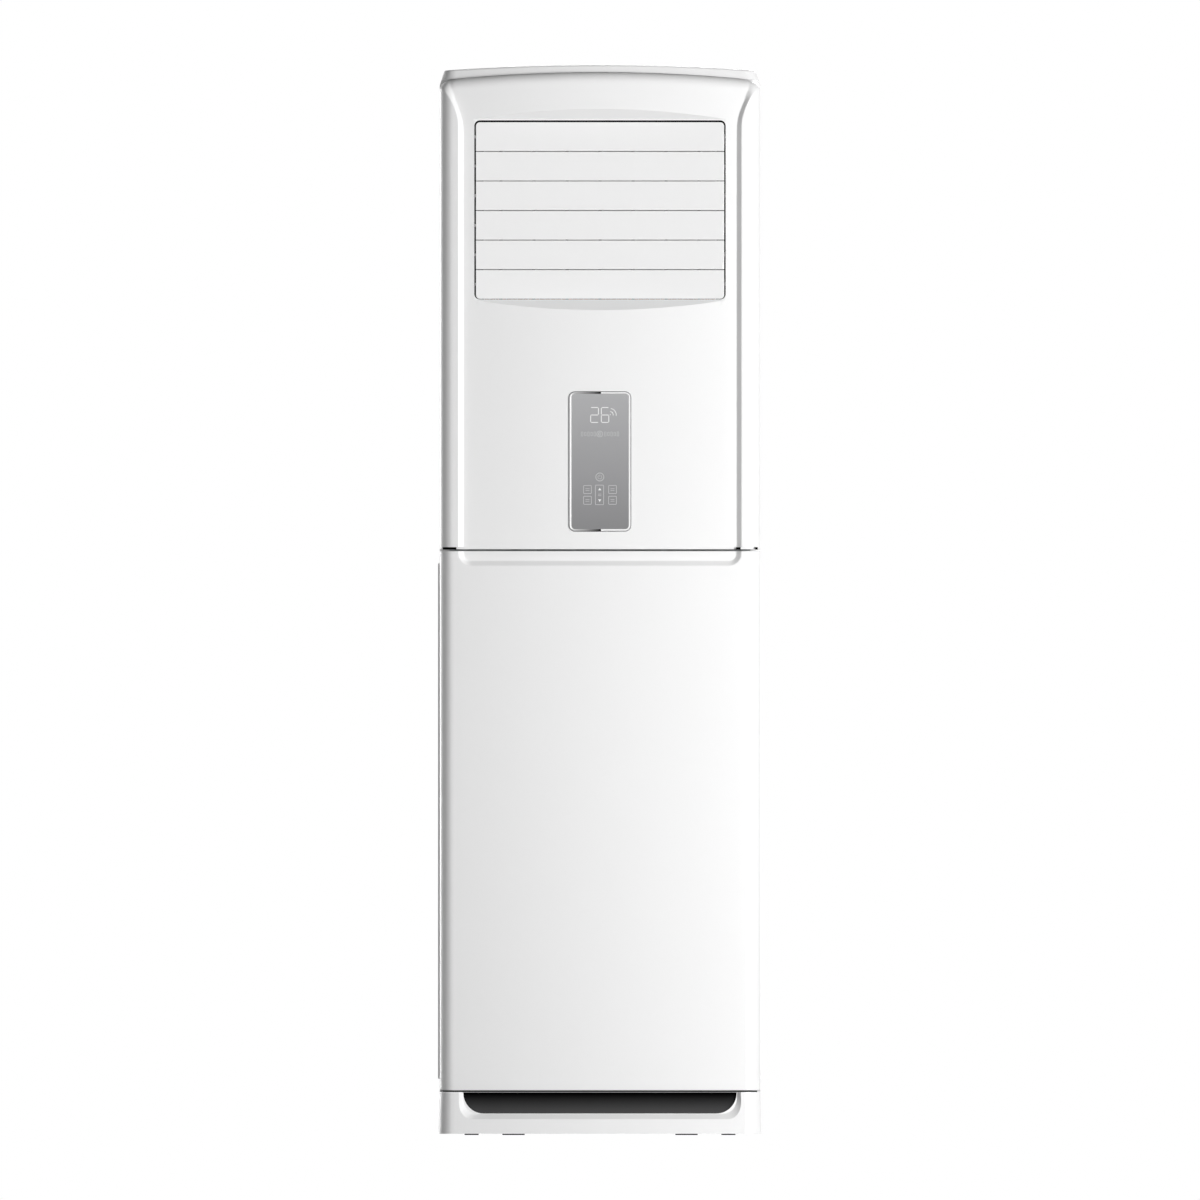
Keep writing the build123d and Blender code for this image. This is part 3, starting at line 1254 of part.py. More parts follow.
def foot_places():
    """Bolt places of the motor on a circle round the shaft."""
    places = []
    for corner in range(FEET):
        angle = 2 * math.pi * (corner + 0.5) / FEET
        places.append((FAN_X + FEET_PCD / 2 * math.cos(angle), FAN_Z + FEET_PCD / 2 * math.sin(angle)))
    return places


def round_about(profile):
    """Turned body about the fan's axis; profile points are radius and y."""
    face = make_face(Polyline(*profile, close=True))
    return Pos(FAN_X, 0, FAN_Z) * revolve(face, Axis.Y)


def inlet_ring():
    """Bell mouth of the inlet, fixed to the scroll's front."""
    r = INLET_R
    rim = r + INLET_LIP * INLET_ROLL
    y0 = SCROLL_Y - SCROLL_T
    tip = SCROLL_Y + INLET_DEPTH
    return round_about([
        (rim, y0), (rim, SCROLL_Y), (r + INLET_ROLL / 2 - FIT, SCROLL_Y),
        (r + SCROLL_T, SCROLL_Y + INLET_ROLL), (r + SCROLL_T, tip), (r, tip), (r, SCROLL_Y + INLET_ROLL),
        (r + INLET_ROLL, y0)])


WHEEL_BACK = SCROLL_Y + SCROLL_D - SCROLL_T - WHEEL_GAP
WHEEL_FRONT = WHEEL_BACK - WHEEL_W
HUB_FRONT = WHEEL_BACK - HUB_L


def fan_wheel():
    """Forward-curved wheel: back disc with hub, blades, front ring."""
    y0, y1 = WHEEL_FRONT, WHEEL_BACK
    disc = rod_y(WHEEL_R, y1 - WHEEL_DISC_T, y1, FAN_X, FAN_Z)
    ring = rod_y(WHEEL_R + WHEEL_RING_T, y0, y0 + WHEEL_RING_T * 2, FAN_X, FAN_Z)
    ring -= rod_y(WHEEL_IN_R, y0, y0 + WHEEL_RING_T * 2, FAN_X, FAN_Z)
    middle = (WHEEL_R + WHEEL_IN_R) / 2
    span = (WHEEL_R - WHEEL_IN_R) / 2
    arc = ThreePointArc((middle - span, 0), (middle, -span / 2), (middle + span - FIT, span / 3))
    blade = trace(arc, FAN_BLADE_T)
    blades = Sketch() + [Rot(0, 0, 360 / FAN_BLADES * turn) * blade for turn in range(FAN_BLADES)]
    vanes = plate_y(Pos(FAN_X, FAN_Z) * blades, y0 + WHEEL_RING_T, y1 - WHEEL_DISC_T / 2)
    hub = rod_y(HUB_R, HUB_FRONT, y1, FAN_X, FAN_Z)
    return disc + ring + vanes + hub - rod_y(SHAFT_R + RUN, y0, y1 + 1, FAN_X, FAN_Z)


MOTOR_Y = SCROLL_Y + SCROLL_D + MOTOR_OFF


def fan_shaft():
    """Motor shaft, with a retaining nut and a washer in front of the hub."""
    washer_y = HUB_FRONT - FIT - SCROLL_T
    nut_y = washer_y - NUT_H
    shaft = rod_y(SHAFT_R, nut_y - SCREW_HEAD_H, MOTOR_Y + MOTOR_L - SHAFT_R, FAN_X, FAN_Z)
    washer = rod_y(SHAFT_R * 2, washer_y, HUB_FRONT - FIT, FAN_X, FAN_Z)
    nut = plate_y(Pos(FAN_X, FAN_Z) * RegularPolygon(NUT_R, 6), nut_y, washer_y)
    return shaft + washer + nut


def fan_motor():
    """Round motor behind the scroll: can, front boss and four feet."""
    y0, y1 = MOTOR_Y, MOTOR_Y + MOTOR_L
    can = rod_y(MOTOR_R, y0, y1, FAN_X, FAN_Z)
    can = chamfer(can.edges(), WALL)
    can += rod_y(MOTOR_BOSS_R, y0 - MOTOR_BOSS_L, y0, FAN_X, FAN_Z)
    for x, z in foot_places():
        can += rod_y(MOTOR_FOOT_R, y0, y0 + WALL * 2, x, z)
        can -= rod_y(SCREW_HOLE_R, y0 - 1, y0 + WALL * 3, x, z)
    return can - rod_y(SHAFT_R + RUN, y0 - MOTOR_BOSS_L - 1, y1 - WALL, FAN_X, FAN_Z)


def motor_bracket():
    """Ring plate between motor and scroll, with a hole for each bolt."""
    y0, y1 = SCROLL_Y + SCROLL_D, MOTOR_Y
    outer = FEET_PCD / 2 + MOTOR_PLATE_MARGIN
    plate = rod_y(outer, y0, y1, FAN_X, FAN_Z)
    plate -= rod_y(MOTOR_BOSS_R + FIT, y0 - 1, y1 + 1, FAN_X, FAN_Z)
    for x, z in foot_places():
        plate -= rod_y(SCREW_HOLE_R, y0 - 1, y1 + 1, x, z)
    return plate


def motor_bolts():
    """Bolts through the motor's feet and the bracket into the scroll."""
    solids = []
    for x, z in foot_places():
        y = MOTOR_Y + WALL * 2
        bolt = rod_y(SCREW_R, SCROLL_Y + SCROLL_D - SCROLL_T, y, x, z)
        solids.append(bolt + rod_y(SCREW_HEAD_R, y, y + SCREW_HEAD_H, x, z))
    return solids


# ---- electrical box ---------------------------------------------------------------------
EBOX_Y1 = SCROLL_Y
EBOX_Y0 = EBOX_Y1 - EBOX_D


def electrical_box():
    """Sheet box on the scroll's front, open to the front."""
    x0, x1 = EBOX_X - EBOX_W / 2, EBOX_X + EBOX_W / 2
    z0, z1 = EBOX_Z - EBOX_H / 2, EBOX_Z + EBOX_H / 2
    box = block(x0, x1, EBOX_Y0, EBOX_Y1, z0, z1)
    return box - block(x0 + SHEET, x1 - SHEET, -BODY_D, EBOX_Y1 - SHEET, z0 + SHEET, z1 - SHEET)


def electrical_cover():
    """Lid of the electrical box, with a folded edge."""
    grow = SHEET + FIT
    x0, x1 = EBOX_X - EBOX_W / 2 - grow, EBOX_X + EBOX_W / 2 + grow
    z0, z1 = EBOX_Z - EBOX_H / 2 - grow, EBOX_Z + EBOX_H / 2 + grow
    y0 = EBOX_Y0 - grow
    lid = block(x0, x1, y0, EBOX_Y0 + FLANGE, z0, z1)
    return lid - block(x0 + SHEET, x1 - SHEET, y0 + SHEET, BODY_D, z0 + SHEET, z1 - SHEET)


BOARD_Y = EBOX_Y1 - SHEET - STANDOFF - BOARD_T
BOARD_X = EBOX_X - (EBOX_W - PCB_W) / 2 + STANDOFF


def main_board():
    """Control board on four posts, with its relays, transformer and heat sink."""
    x0, x1 = BOARD_X - PCB_W / 2, BOARD_X + PCB_W / 2
    z0, z1 = EBOX_Z - PCB_H / 2, EBOX_Z + PCB_H / 2
    board = block(x0, x1, BOARD_Y, BOARD_Y + BOARD_T, z0, z1)
    for x in (x0 + STANDOFF, x1 - STANDOFF):
        for z in (z0 + STANDOFF, z1 - STANDOFF):
            board += rod_y(STANDOFF / 2, BOARD_Y + BOARD_T, EBOX_Y1 - SHEET, x, z)
    top = z1 - PCB_EDGE
    for relay in range(RELAYS):
        x = x0 + CORE_IN + relay * RELAY_PITCH
        board += block(x, x + RELAY_W, BOARD_Y - RELAY_D, BOARD_Y, top - RELAY_H, top)
    low = z0 + 2 * PCB_EDGE
    x = x0 + CORE_IN
    board += block(x, x + CORE_W, BOARD_Y - CORE_IN, BOARD_Y, low, low + CORE_H)
    for fin in range(SINK_FINS):
        x = x0 + SINK_X + 2 * fin * SINK_FIN_T
        board += block(x, x + SINK_FIN_T, BOARD_Y - CORE_IN, BOARD_Y, low, low + SINK_H)
    return board


def fan_capacitor():
    """Run capacitor of the fan motor, on the floor of the electrical box."""
    x = EBOX_X + EBOX_W / 2 - SHEET - CAPACITOR_W / 2 - STANDOFF
    z = EBOX_Z - EBOX_H / 2 + SHEET
    y1 = EBOX_Y1 - SHEET
    body = block(x - CAPACITOR_W / 2, x + CAPACITOR_W / 2, y1 - CAPACITOR_D, y1, z, z + CAPACITOR_H)
    return fillet(body.edges().filter_by(Axis.Y), WALL)


def terminal_block():
    """Mains terminal strip in the electrical box: base, barriers and screws."""
    x = EBOX_X + EBOX_W / 2 - SHEET - CAPACITOR_W / 2 - STANDOFF
    z1 = EBOX_Z + EBOX_H / 2 - SHEET - STANDOFF
    y1 = EBOX_Y1 - SHEET
    half = CAPACITOR_W / 2
    pitch = CAPACITOR_H / TERMINALS
    body = block(x - half, x + half, y1 - STANDOFF, y1, z1 - CAPACITOR_H, z1)
    for barrier in range(TERMINALS + 1):
        z = z1 - CAPACITOR_H + barrier * (CAPACITOR_H - BOARD_T) / TERMINALS
        body += block(x - half, x + half, y1 - 2 * STANDOFF, y1 - STANDOFF, z, z + BOARD_T)
    for screw in range(TERMINALS):
        z = z1 - CAPACITOR_H + (screw + 0.5) * pitch
        for side in (-1, 1):
            body += rod_y(SCREW_HEAD_R, y1 - STANDOFF - SCREW_HEAD_H, y1 - STANDOFF, x + side * half / 2, z)
    return body


PARTS["fan_scroll"] = fan_scroll()
PARTS["inlet_ring"] = inlet_ring()
PARTS["fan_wheel"] = fan_wheel()
PARTS["fan_shaft"] = fan_shaft()
PARTS["fan_motor"] = fan_motor()
PARTS["motor_bracket"] = group([motor_bracket()] + motor_bolts())
PARTS["electrical_box"] = electrical_box()
PARTS["electrical_cover"] = electrical_cover()
PARTS["main_board"] = main_board()
PARTS["fan_capacitor"] = fan_capacitor()
PARTS["terminal_block"] = terminal_block()

os.makedirs("parts", exist_ok=True)
for node, solid in PARTS.items():
    solid.label = node
    export_step(solid, os.path.join("parts", node + ".step"))
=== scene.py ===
"""Looks of a tall floor standing air conditioner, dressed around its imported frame.

Metres, +Z up, the front faces -Y and +X is to the right seen from the front.
"""
import json
import logging
import math
from dataclasses import dataclass, field
from enum import Enum
from typing import Any, Dict, List, Optional, Sequence, Tuple

import bmesh
import bpy
import numpy as np
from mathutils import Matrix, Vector


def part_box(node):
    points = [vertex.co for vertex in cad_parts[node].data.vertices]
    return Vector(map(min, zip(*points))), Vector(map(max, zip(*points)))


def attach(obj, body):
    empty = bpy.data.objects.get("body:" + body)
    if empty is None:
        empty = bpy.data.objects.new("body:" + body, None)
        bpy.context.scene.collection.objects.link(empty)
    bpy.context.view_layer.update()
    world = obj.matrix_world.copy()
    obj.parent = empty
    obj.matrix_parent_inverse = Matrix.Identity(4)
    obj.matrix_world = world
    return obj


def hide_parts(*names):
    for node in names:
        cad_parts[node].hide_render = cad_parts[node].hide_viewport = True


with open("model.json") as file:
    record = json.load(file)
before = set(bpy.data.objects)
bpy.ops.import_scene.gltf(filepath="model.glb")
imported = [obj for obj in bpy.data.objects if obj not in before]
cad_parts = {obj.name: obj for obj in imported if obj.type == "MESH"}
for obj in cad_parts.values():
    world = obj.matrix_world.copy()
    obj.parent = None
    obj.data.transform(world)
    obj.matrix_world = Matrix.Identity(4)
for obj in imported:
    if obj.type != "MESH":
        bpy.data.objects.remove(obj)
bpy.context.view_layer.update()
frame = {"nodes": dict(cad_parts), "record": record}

LOG = logging.getLogger("air_conditioner")
Array = np.ndarray
Color = Tuple[float, float, float]
Place = Tuple[float, float, float]
Pair = Tuple[float, float]
ROOT2 = math.sqrt(2.0)
CASING = "casing"
SAME_POINT = 1e-6
SAME_DIGITS = 6
LINE_DIGITS = 7
NO_EDGE = 1e-7
COLOR_DRIFT = 6.0
GLOSS_DRIFT = 14.0
DRIFT_DETAIL = 3.0
DRIFT_SWING = 0.15
LINE_SWING = 0.2
HALF_WAY = 0.5
COAT_ROUGH = 0.06
WHITE = (1.0, 1.0, 1.0, 1.0)


def placed(name: str, data: Any) -> bpy.types.Object:
    """Puts data into the scene.

    Args:
        name: name of the object.
        data: its mesh, light or camera.

    Returns:
        The object.
    """
    thing = bpy.data.objects.new(name, data)
    bpy.context.scene.collection.objects.link(thing)
    return thing


# ---- surfaces from arrays -----------------------------------------------------------------
@dataclass
class Surface:
    """Points and four-sided faces of a piece.

    Args:
        points: (n, 3) places in metres.
        faces: (m, 4) rows of point numbers, seen counter-clockwise from outside.
    """

    points: Array
    faces: Array

    @classmethod
    def grid(cls, points: Array, wrap_rows: bool = False, wrap_columns: bool = False) -> "Surface":
        """Joins neighbours of a rows x columns x 3 array into quads.

        Args:
            points: places by row and column.
            wrap_rows: the last row joins the first.
            wrap_columns: the last column joins the first.

        Returns:
            The surface; its normal is the column direction crossed with the row direction.
        """
        rows, columns = points.shape[:2]
        number = np.arange(rows * columns).reshape(rows, columns)
        if wrap_rows:
            number = np.vstack([number, number[:1]])
        if wrap_columns:
            number = np.hstack([number, number[:, :1]])
        faces = np.stack(
            [number[:-1, :-1], number[:-1, 1:], number[1:, 1:], number[1:, :-1]], axis=-1)
        return cls(points.reshape(-1, 3), faces.reshape(-1, 4))

    @classmethod
    def join(cls, parts: Sequence["Surface"]) -> "Surface":
        """Several surfaces as one.

        Args:
            parts: the surfaces.

        Returns:
            Their points one after another, the faces numbered on.
        """
        starts = np.cumsum([0] + [len(part.points) for part in parts[:-1]])
        faces = [part.faces + start for part, start in zip(parts, starts)]
        return cls(np.vstack([part.points for part in parts]), np.vstack(faces))

    def mirrored(self) -> "Surface":
        """Mirror image in the plane x = 0, faces still outwards."""
        return Surface(self.points * (-1.0, 1.0, 1.0), self.faces[:, ::-1])

    def build(self, name: str, slot: "Slot", finish: "Finish",
              crease: float = 35.0) -> bpy.types.Object:
        """Makes the piece: merges its seams and marks edges that turn more than `crease` sharp.

        Args:
            name: name of the piece.
            slot: material slot of the record.
            finish: what it is dressed in.
            crease: angle in degrees.

        Returns:
            The object, not yet riding on a body.
        """
        mesh = bpy.data.meshes.new(name)
        mesh.from_pydata(self.points, [], self.faces)
        work = bmesh.new()
        work.from_mesh(mesh)
        bmesh.ops.remove_doubles(work, verts=work.verts, dist=SAME_POINT)
        bmesh.ops.dissolve_degenerate(work, edges=work.edges, dist=NO_EDGE)
        work.to_mesh(mesh)
        work.free()
        mesh.shade_smooth()
        mesh.set_sharp_from_angle(angle=math.radians(crease))
        piece = placed(name, mesh)
        mesh.materials.append(finish.material())
        LOG.info("piece %s: %d faces", name, len(mesh.polygons))
        return piece


def walled(outer: Surface, inner: Surface) -> Surface:
    """Closes two surfaces with the same faces into a wall: a quad spans each open edge.

    Args:
        outer: the shown side.
        inner: the same faces moved inwards.

    Returns:
        The closed wall.
    """
    count = len(outer.points)
    sides = np.stack([outer.faces, np.roll(outer.faces, -1, axis=1)], axis=-1).reshape(-1, 2)
    key = np.sort(sides, axis=1)
    _, where, times = np.unique(key, axis=0, return_inverse=True, return_counts=True)
    rim = sides[times[where.reshape(-1)] == 1]
    rim_faces = np.stack([rim[:, 1], rim[:, 0], rim[:, 0] + count, rim[:, 1] + count], axis=1)
    faces = np.vstack([outer.faces, inner.faces[:, ::-1] + count, rim_faces])
    return Surface(np.vstack([outer.points, inner.points]), faces)


def closed_wall(outer: Surface, inner: Surface) -> Surface:
    """Wall between two skins whose points correspond.

    Args:
        outer: shown side, with seams still apart.
        inner: the same grid set inwards.

    Returns:
        The closed wall; the seams of the outer side decide which points are one.
    """
    _, first, where = np.unique(
        np.round(outer.points, SAME_DIGITS), axis=0, return_index=True, return_inverse=True)
    faces = where.reshape(-1)[outer.faces]
    return walled(Surface(outer.points[first], faces), Surface(inner.points[first], faces))


def ramp(distance: Array, width: Array, depth: float, soft: float) -> Array:
    """Rises from 0 to `depth` over `width` with both corners rounded.

    Args:
        distance: how far past the start of the slope.
        width: run of the slope.
        depth: its height.
        soft: half length of each rounded corner.

    Returns:
        depth / width * (B(distance) - B(distance - width)), where B is 0, then a parabola, then
        the distance itself.
    """
    def bend(s: Array) -> Array:
        """Smooth corner between 0 and s."""
        return np.where(s > soft, s, np.where(s < -soft, 0.0, (s + soft) ** 2 / (4 * soft)))

    return (bend(distance) - bend(distance - width)) * depth / width


def stretch(start: float, end: float, step: float) -> Array:
    """Even divisions from start to end, both included, at most a step apart."""
    return np.linspace(start, end, max(1, math.ceil(abs(end - start) / step - SAME_POINT)) + 1)


def lines(*stretches: Array) -> Array:
    """Grid lines in rising order, without repeats."""
    return np.unique(np.round(np.concatenate(stretches), LINE_DIGITS))


# ---- shader maths -------------------------------------------------------------------------
class Wire:
    """A number socket that takes part in Python expressions."""

    def __init__(self, tree: "Tree", socket: bpy.types.NodeSocket) -> None:
        """Wraps a socket of a node tree."""
        self.tree = tree
        self.socket = socket

    def _math(self, operation: str, *values: Any) -> "Wire":
        """Adds one Math node."""
        inputs = dict(enumerate(values))
        return self.tree.add("ShaderNodeMath", {"operation": operation}, inputs)

    def __add__(self, other: Any) -> "Wire":
        """Sum."""
        return self._math("ADD", self, other)

    __radd__ = __add__

    def __sub__(self, other: Any) -> "Wire":
        """Difference."""
        return self._math("SUBTRACT", self, other)

    def __rsub__(self, other: Any) -> "Wire":
        """Difference from a number."""
        return self._math("SUBTRACT", other, self)

    def __mul__(self, other: Any) -> "Wire":
        """Product."""
        return self._math("MULTIPLY", self, other)

    __rmul__ = __mul__

    def __truediv__(self, other: Any) -> "Wire":
        """Quotient."""
        return self._math("DIVIDE", self, other)

    def __gt__(self, other: Any) -> "Wire":
        """1 where larger, else 0."""
        return self._math("GREATER_THAN", self, other)

    def __lt__(self, other: Any) -> "Wire":
        """1 where smaller, else 0."""
        return self._math("LESS_THAN", self, other)

    def size(self) -> "Wire":
        """Value without its sign."""
        return self._math("ABSOLUTE", self)

    def part(self) -> "Wire":
        """What is left after the whole number."""
        return self._math("FRACT", self)


class Tree:
    """Node tree of a material or of the world."""

    def __init__(self, owner: Any) -> None:
        """Starts an empty tree.

        Args:
            owner: the material or world it belongs to.
        """
        owner.use_nodes = True
        self.tree = owner.node_tree
        self.tree.nodes.clear()

    def add(self, kind: str, settings: Optional[Dict[str, Any]] = None,
            inputs: Optional[Dict[Any, Any]] = None, output: Any = 0) -> Wire:
        """Adds a node.

        Args:
            kind: type of the node.
            settings: its own properties, set first.
            inputs: numbers, colours or wires by socket name or number.
            output: socket to return, by name or number.

        Returns:
            A wire from that socket.
        """
        node = self.tree.nodes.new(kind)
        for key, value in (settings or {}).items():
            setattr(node, key, value)
        for key, value in (inputs or {}).items():
            if isinstance(value, Wire):
                self.tree.links.new(value.socket, node.inputs[key])
            elif value is not None:
                node.inputs[key].default_value = value
        socket = node.outputs[output] if len(node.outputs) else None
        return Wire(self, socket)

    def place(self) -> Wire:
        """Object coordinates, which are the frame's own metres."""
        return self.add("ShaderNodeTexCoord", output="Object")

    def axis(self, name: str) -> Wire:
        """One of the object coordinates."""
        return self.add("ShaderNodeSeparateXYZ", inputs={0: self.place()}, output=name)

    def noise(self, scale: float, detail: float = 2.0,
              stretch_by: Sequence[float] = (1, 1, 1)) -> Wire:
        """Noise of the object coordinates.

        Args:
            scale: grains in a metre.
            detail: octaves added.
            stretch_by: factors on the coordinates.

        Returns:
            A wire with about 0.5 on average.
        """
        spread = self.add(
            "ShaderNodeMapping", inputs={"Vector": self.place(), "Scale": tuple(stretch_by)})
        return self.add(
            "ShaderNodeTexNoise", inputs={"Vector": spread, "Scale": scale, "Detail": detail})

    def blend(self, share: Any, first: Color, second: Color) -> Wire:
        """Colour between two.

        Args:
            share: from 0 for the first to 1 for the second.
            first: one colour.
            second: the other.

        Returns:
            A wire with the colour.
        """
        inputs = {0: share, 6: (*first, 1.0), 7: (*second, 1.0)}
        return self.add(
            "ShaderNodeMix", {"data_type": "RGBA", "clamp_factor": True}, inputs, output=2)


# ---- finishes -----------------------------------------------------------------------------
MADE: Dict[str, bpy.types.Material] = {}


@dataclass(frozen=True)
class Finish:
    """Base of all finishes: colour, gloss and the size of the grain.

    Args:
        name: name of the material.
        color: base colour.
        rough: roughness.
        metal: metallic share.
        coat: weight of the clear coat.
        grain: size of the surface's grain in metres.
        bump: height of the grain in metres.
        shift: how much the colour varies.
        mirror: strength of the plain surface reflection.
    """

    name: str
    color: Color
    rough: float = 0.4
    metal: float = 0.0
    coat: float = 0.0
    grain: float = 0.002
    bump: float = 0.00001
    shift: float = 0.03
    mirror: float = 0.5

    def material(self) -> bpy.types.Material:
        """Makes the material when it is first asked for.

        Returns:
            The material of this name.
        """
        if self.name not in MADE:
            made = bpy.data.materials.new(self.name)
            self._dress(Tree(made))
            MADE[self.name] = made
        return MADE[self.name]

    def shades(self) -> List[Color]:
        """Darkest and lightest shade of the colour."""
        return [tuple(min(1.0, channel * (1 + way * self.shift)) for channel in self.color)
                for way in (-1, 1)]

    def _color(self, tree: Tree) -> Wire:
        """Base colour with a slight drift over the surface."""
        return tree.blend(tree.noise(COLOR_DRIFT, DRIFT_DETAIL), *self.shades())

    def swung(self, swing: float, noise: Wire) -> Wire:
        """Roughness that follows a noise, by the swing either way."""
        return self.rough * (1.0 - swing + 2.0 * swing * noise)

    def _rough(self, tree: Tree) -> Wire:
        """Roughness with a slow drift."""
        return self.swung(DRIFT_SWING, tree.noise(GLOSS_DRIFT, DRIFT_DETAIL))

    def _height(self, tree: Tree) -> Wire:
        """Height of the grain, 0 to 1."""
        return tree.noise(1.0 / self.grain, 2.0)

    def _dress(self, tree: Tree) -> None:
        """Joins colour, gloss and grain in one Principled shader.

        Args:
            tree: the material's tree.
        """
        bump = tree.add("ShaderNodeBump", inputs={
            "Distance": self.bump, "Strength": 1.0, "Height": self._height(tree)})
        shader = tree.add("ShaderNodeBsdfPrincipled", inputs={
            "Base Color": self._color(tree), "Roughness": self._rough(tree),
            "Metallic": self.metal, "Coat Weight": self.coat, "Coat Roughness": COAT_ROUGH,
            "Specular IOR Level": self.mirror, "Normal": bump})
        tree.add("ShaderNodeOutputMaterial", inputs={"Surface": shader})


@dataclass(frozen=True)
class BrushedMetal(Finish):
    """Sheet or turned metal with fine lines along one direction."""

    along: Sequence[float] = (1.0, 1.0, 0.02)

    def _height(self, tree: Tree) -> Wire:
        """Lines: noise drawn out along one axis."""
        return tree.noise(1.0 / self.grain, 1.0, self.along)

    def _rough(self, tree: Tree) -> Wire:
        """Roughness follows the lines."""
        return self.swung(LINE_SWING, tree.noise(0.5 / self.grain, 2.0, self.along))


@dataclass(frozen=True)
class ZincSheet(Finish):
    """Zinc coated sheet with its frosty flakes."""

    flake: float = 0.012

    def _color(self, tree: Tree) -> Wire:
        """Gives each flake its own shade.

        Args:
            tree: the material's tree.

        Returns:
            A wire with the colour.
        """
        cells = tree.add(
            "ShaderNodeTexVoronoi", inputs={"Vector": tree.place(), "Scale": 1.0 / self.flake},
            output="Color")
        share = tree.add("ShaderNodeSeparateColor", inputs={0: cells})
        return tree.blend(share, *self.shades())


@dataclass(frozen=True)
class Netting(Finish):
    """Fine square netting, open between its threads."""

    pitch: float = 0.0022
    thread: float = 0.36
    veil: float = 0.25

    def _threads(self, tree: Tree) -> Wire:
        """Square net of threads.

        Args:
            tree: the material's tree.

        Returns:
            1 on a thread, where the part of y or z over the pitch is small, else 0.
        """
        across = (tree.axis("Y") / self.pitch).part() < self.thread
        up = (tree.axis("Z") / self.pitch).part() < self.thread
        return (across + up) > HALF_WAY

    def _dress(self, tree: Tree) -> None:
        """Joins opaque threads and nearly clear openings.

        Args:
            tree: the material's tree.
        """
        shader = tree.add("ShaderNodeBsdfPrincipled", inputs={
            "Base Color": self._color(tree), "Roughness": self._rough(tree),
            "Alpha": self.veil + (1.0 - self.veil) * self._threads(tree)})
        tree.add("ShaderNodeOutputMaterial", inputs={"Surface": shader})


@dataclass(frozen=True)
class FadedGlass(Finish):
    """Dark mirror glass whose colour fades from a light top to a dark foot."""

    foot: Color = (0.20, 0.20, 0.205)
    low: float = 0.99
    high: float = 1.21

    def _color(self, tree: Tree) -> Wire:
        """Colour between two greys by height, lighter at the top."""
        share = (tree.axis("Z") - self.low) / (self.high - self.low)
        return tree.blend(share, self.foot, self.color)


class Slot(str, Enum):
    """Material slots of the record."""

    SHELL = "shell_white"
    LOUVER = "louver_white"
    CASING = "casing_paint"
    CHROME = "bezel_chrome"
    GLASS = "display_glass"
    DARK = "dark_plastic"
    DUCT = "duct_grey"
    ZINC = "galvanised"
    FIN = "fin_aluminium"
    COPPER = "copper"
    BRASS = "union_brass"
    HOSE = "hose_rubber"
    RUBBER = "foot_rubber"
    FILTER = "filter_plastic"
    FAN = "fan_plastic"
    MOTOR = "motor_paint"
    STEEL = "steel"
    BOARD = "circuit_green"
    TRAY = "tray_plastic"


FINISHES: Dict[Slot, Finish] = {
    Slot.SHELL: Finish("glossy_white_moulding", (0.86, 0.86, 0.86), 0.30, coat=0.1, grain=0.03,
                       bump=0.00002, shift=0.006, mirror=0.3),
    Slot.LOUVER: Finish("satin_white_moulding", (0.84, 0.84, 0.84), 0.34, coat=0.2, grain=0.02,
                        bump=0.00001, shift=0.006),
    Slot.CASING: Finish("white_powder_coat", (0.84, 0.84, 0.835), 0.42, grain=0.0012,
                        bump=0.00004, shift=0.012),
    Slot.CHROME: BrushedMetal("bright_chrome", (0.86, 0.86, 0.87), 0.07, metal=1.0, grain=0.01,
                              bump=0.000001, shift=0.01),
    Slot.GLASS: FadedGlass("faded_mirror_glass", (0.385, 0.385, 0.395), 0.05, coat=0.6, grain=0.05,
                           bump=0.000002),
    Slot.DARK: Finish("black_fine_grain", (0.03, 0.03, 0.033), 0.5, grain=0.0008, bump=0.00002),
    Slot.DUCT: Finish("grey_duct_moulding", (0.05, 0.05, 0.053), 0.55, grain=0.0015,
                      bump=0.00003, shift=0.06, mirror=0.2),
    Slot.ZINC: ZincSheet("zinc_coated_sheet", (0.58, 0.60, 0.61), 0.38, metal=0.9, grain=0.006,
                         bump=0.00002, shift=0.10),
    Slot.FIN: BrushedMetal("rolled_fin_sheet", (0.78, 0.80, 0.82), 0.3, metal=1.0, grain=0.001,
                           bump=0.00001, shift=0.04),
    Slot.COPPER: BrushedMetal("drawn_copper", (0.80, 0.42, 0.27), 0.26, metal=1.0, grain=0.001,
                              bump=0.00001, shift=0.12),
    Slot.BRASS: BrushedMetal("turned_brass", (0.78, 0.60, 0.28), 0.24, metal=1.0, grain=0.0006,
                             bump=0.00001, shift=0.08, along=(1.0, 1.0, 40.0)),
    Slot.HOSE: Finish("ribbed_hose", (0.70, 0.70, 0.68), 0.6, grain=0.004, bump=0.0001,
                      shift=0.05),
    Slot.RUBBER: Finish("black_rubber", (0.035, 0.035, 0.036), 0.72, grain=0.0009, bump=0.00006,
                        shift=0.15),
    Slot.FILTER: Finish("filter_frame_moulding", (0.17, 0.19, 0.21), 0.5, grain=0.001,
                        bump=0.00003, shift=0.06),
    Slot.FAN: Finish("fan_wheel_moulding", (0.26, 0.27, 0.28), 0.45, grain=0.002, bump=0.00003,
                     shift=0.08),
    Slot.MOTOR: Finish("black_motor_enamel", (0.04, 0.04, 0.043), 0.3, coat=0.3, grain=0.0015,
                       bump=0.00004),
    Slot.STEEL: BrushedMetal("plated_steel", (0.66, 0.67, 0.68), 0.26, metal=1.0, grain=0.0008,
                             bump=0.000008, shift=0.06),
    Slot.BOARD: Finish("circuit_laminate", (0.03, 0.20, 0.08), 0.35, coat=0.4, grain=0.0012,
                       bump=0.00003, shift=0.2),
    Slot.TRAY: Finish("pale_tray_moulding", (0.66, 0.66, 0.65), 0.55, grain=0.002, bump=0.00005,
                      shift=0.03),
}
# Painted shade: near-black with almost no gloss, for strips that stand in for shade in joints and
# gaps.
PAINTED_SHADE = Finish("black_gasket", (0.003, 0.003, 0.003), 0.8, grain=0.001, bump=0.00001,
                mirror=0.03)
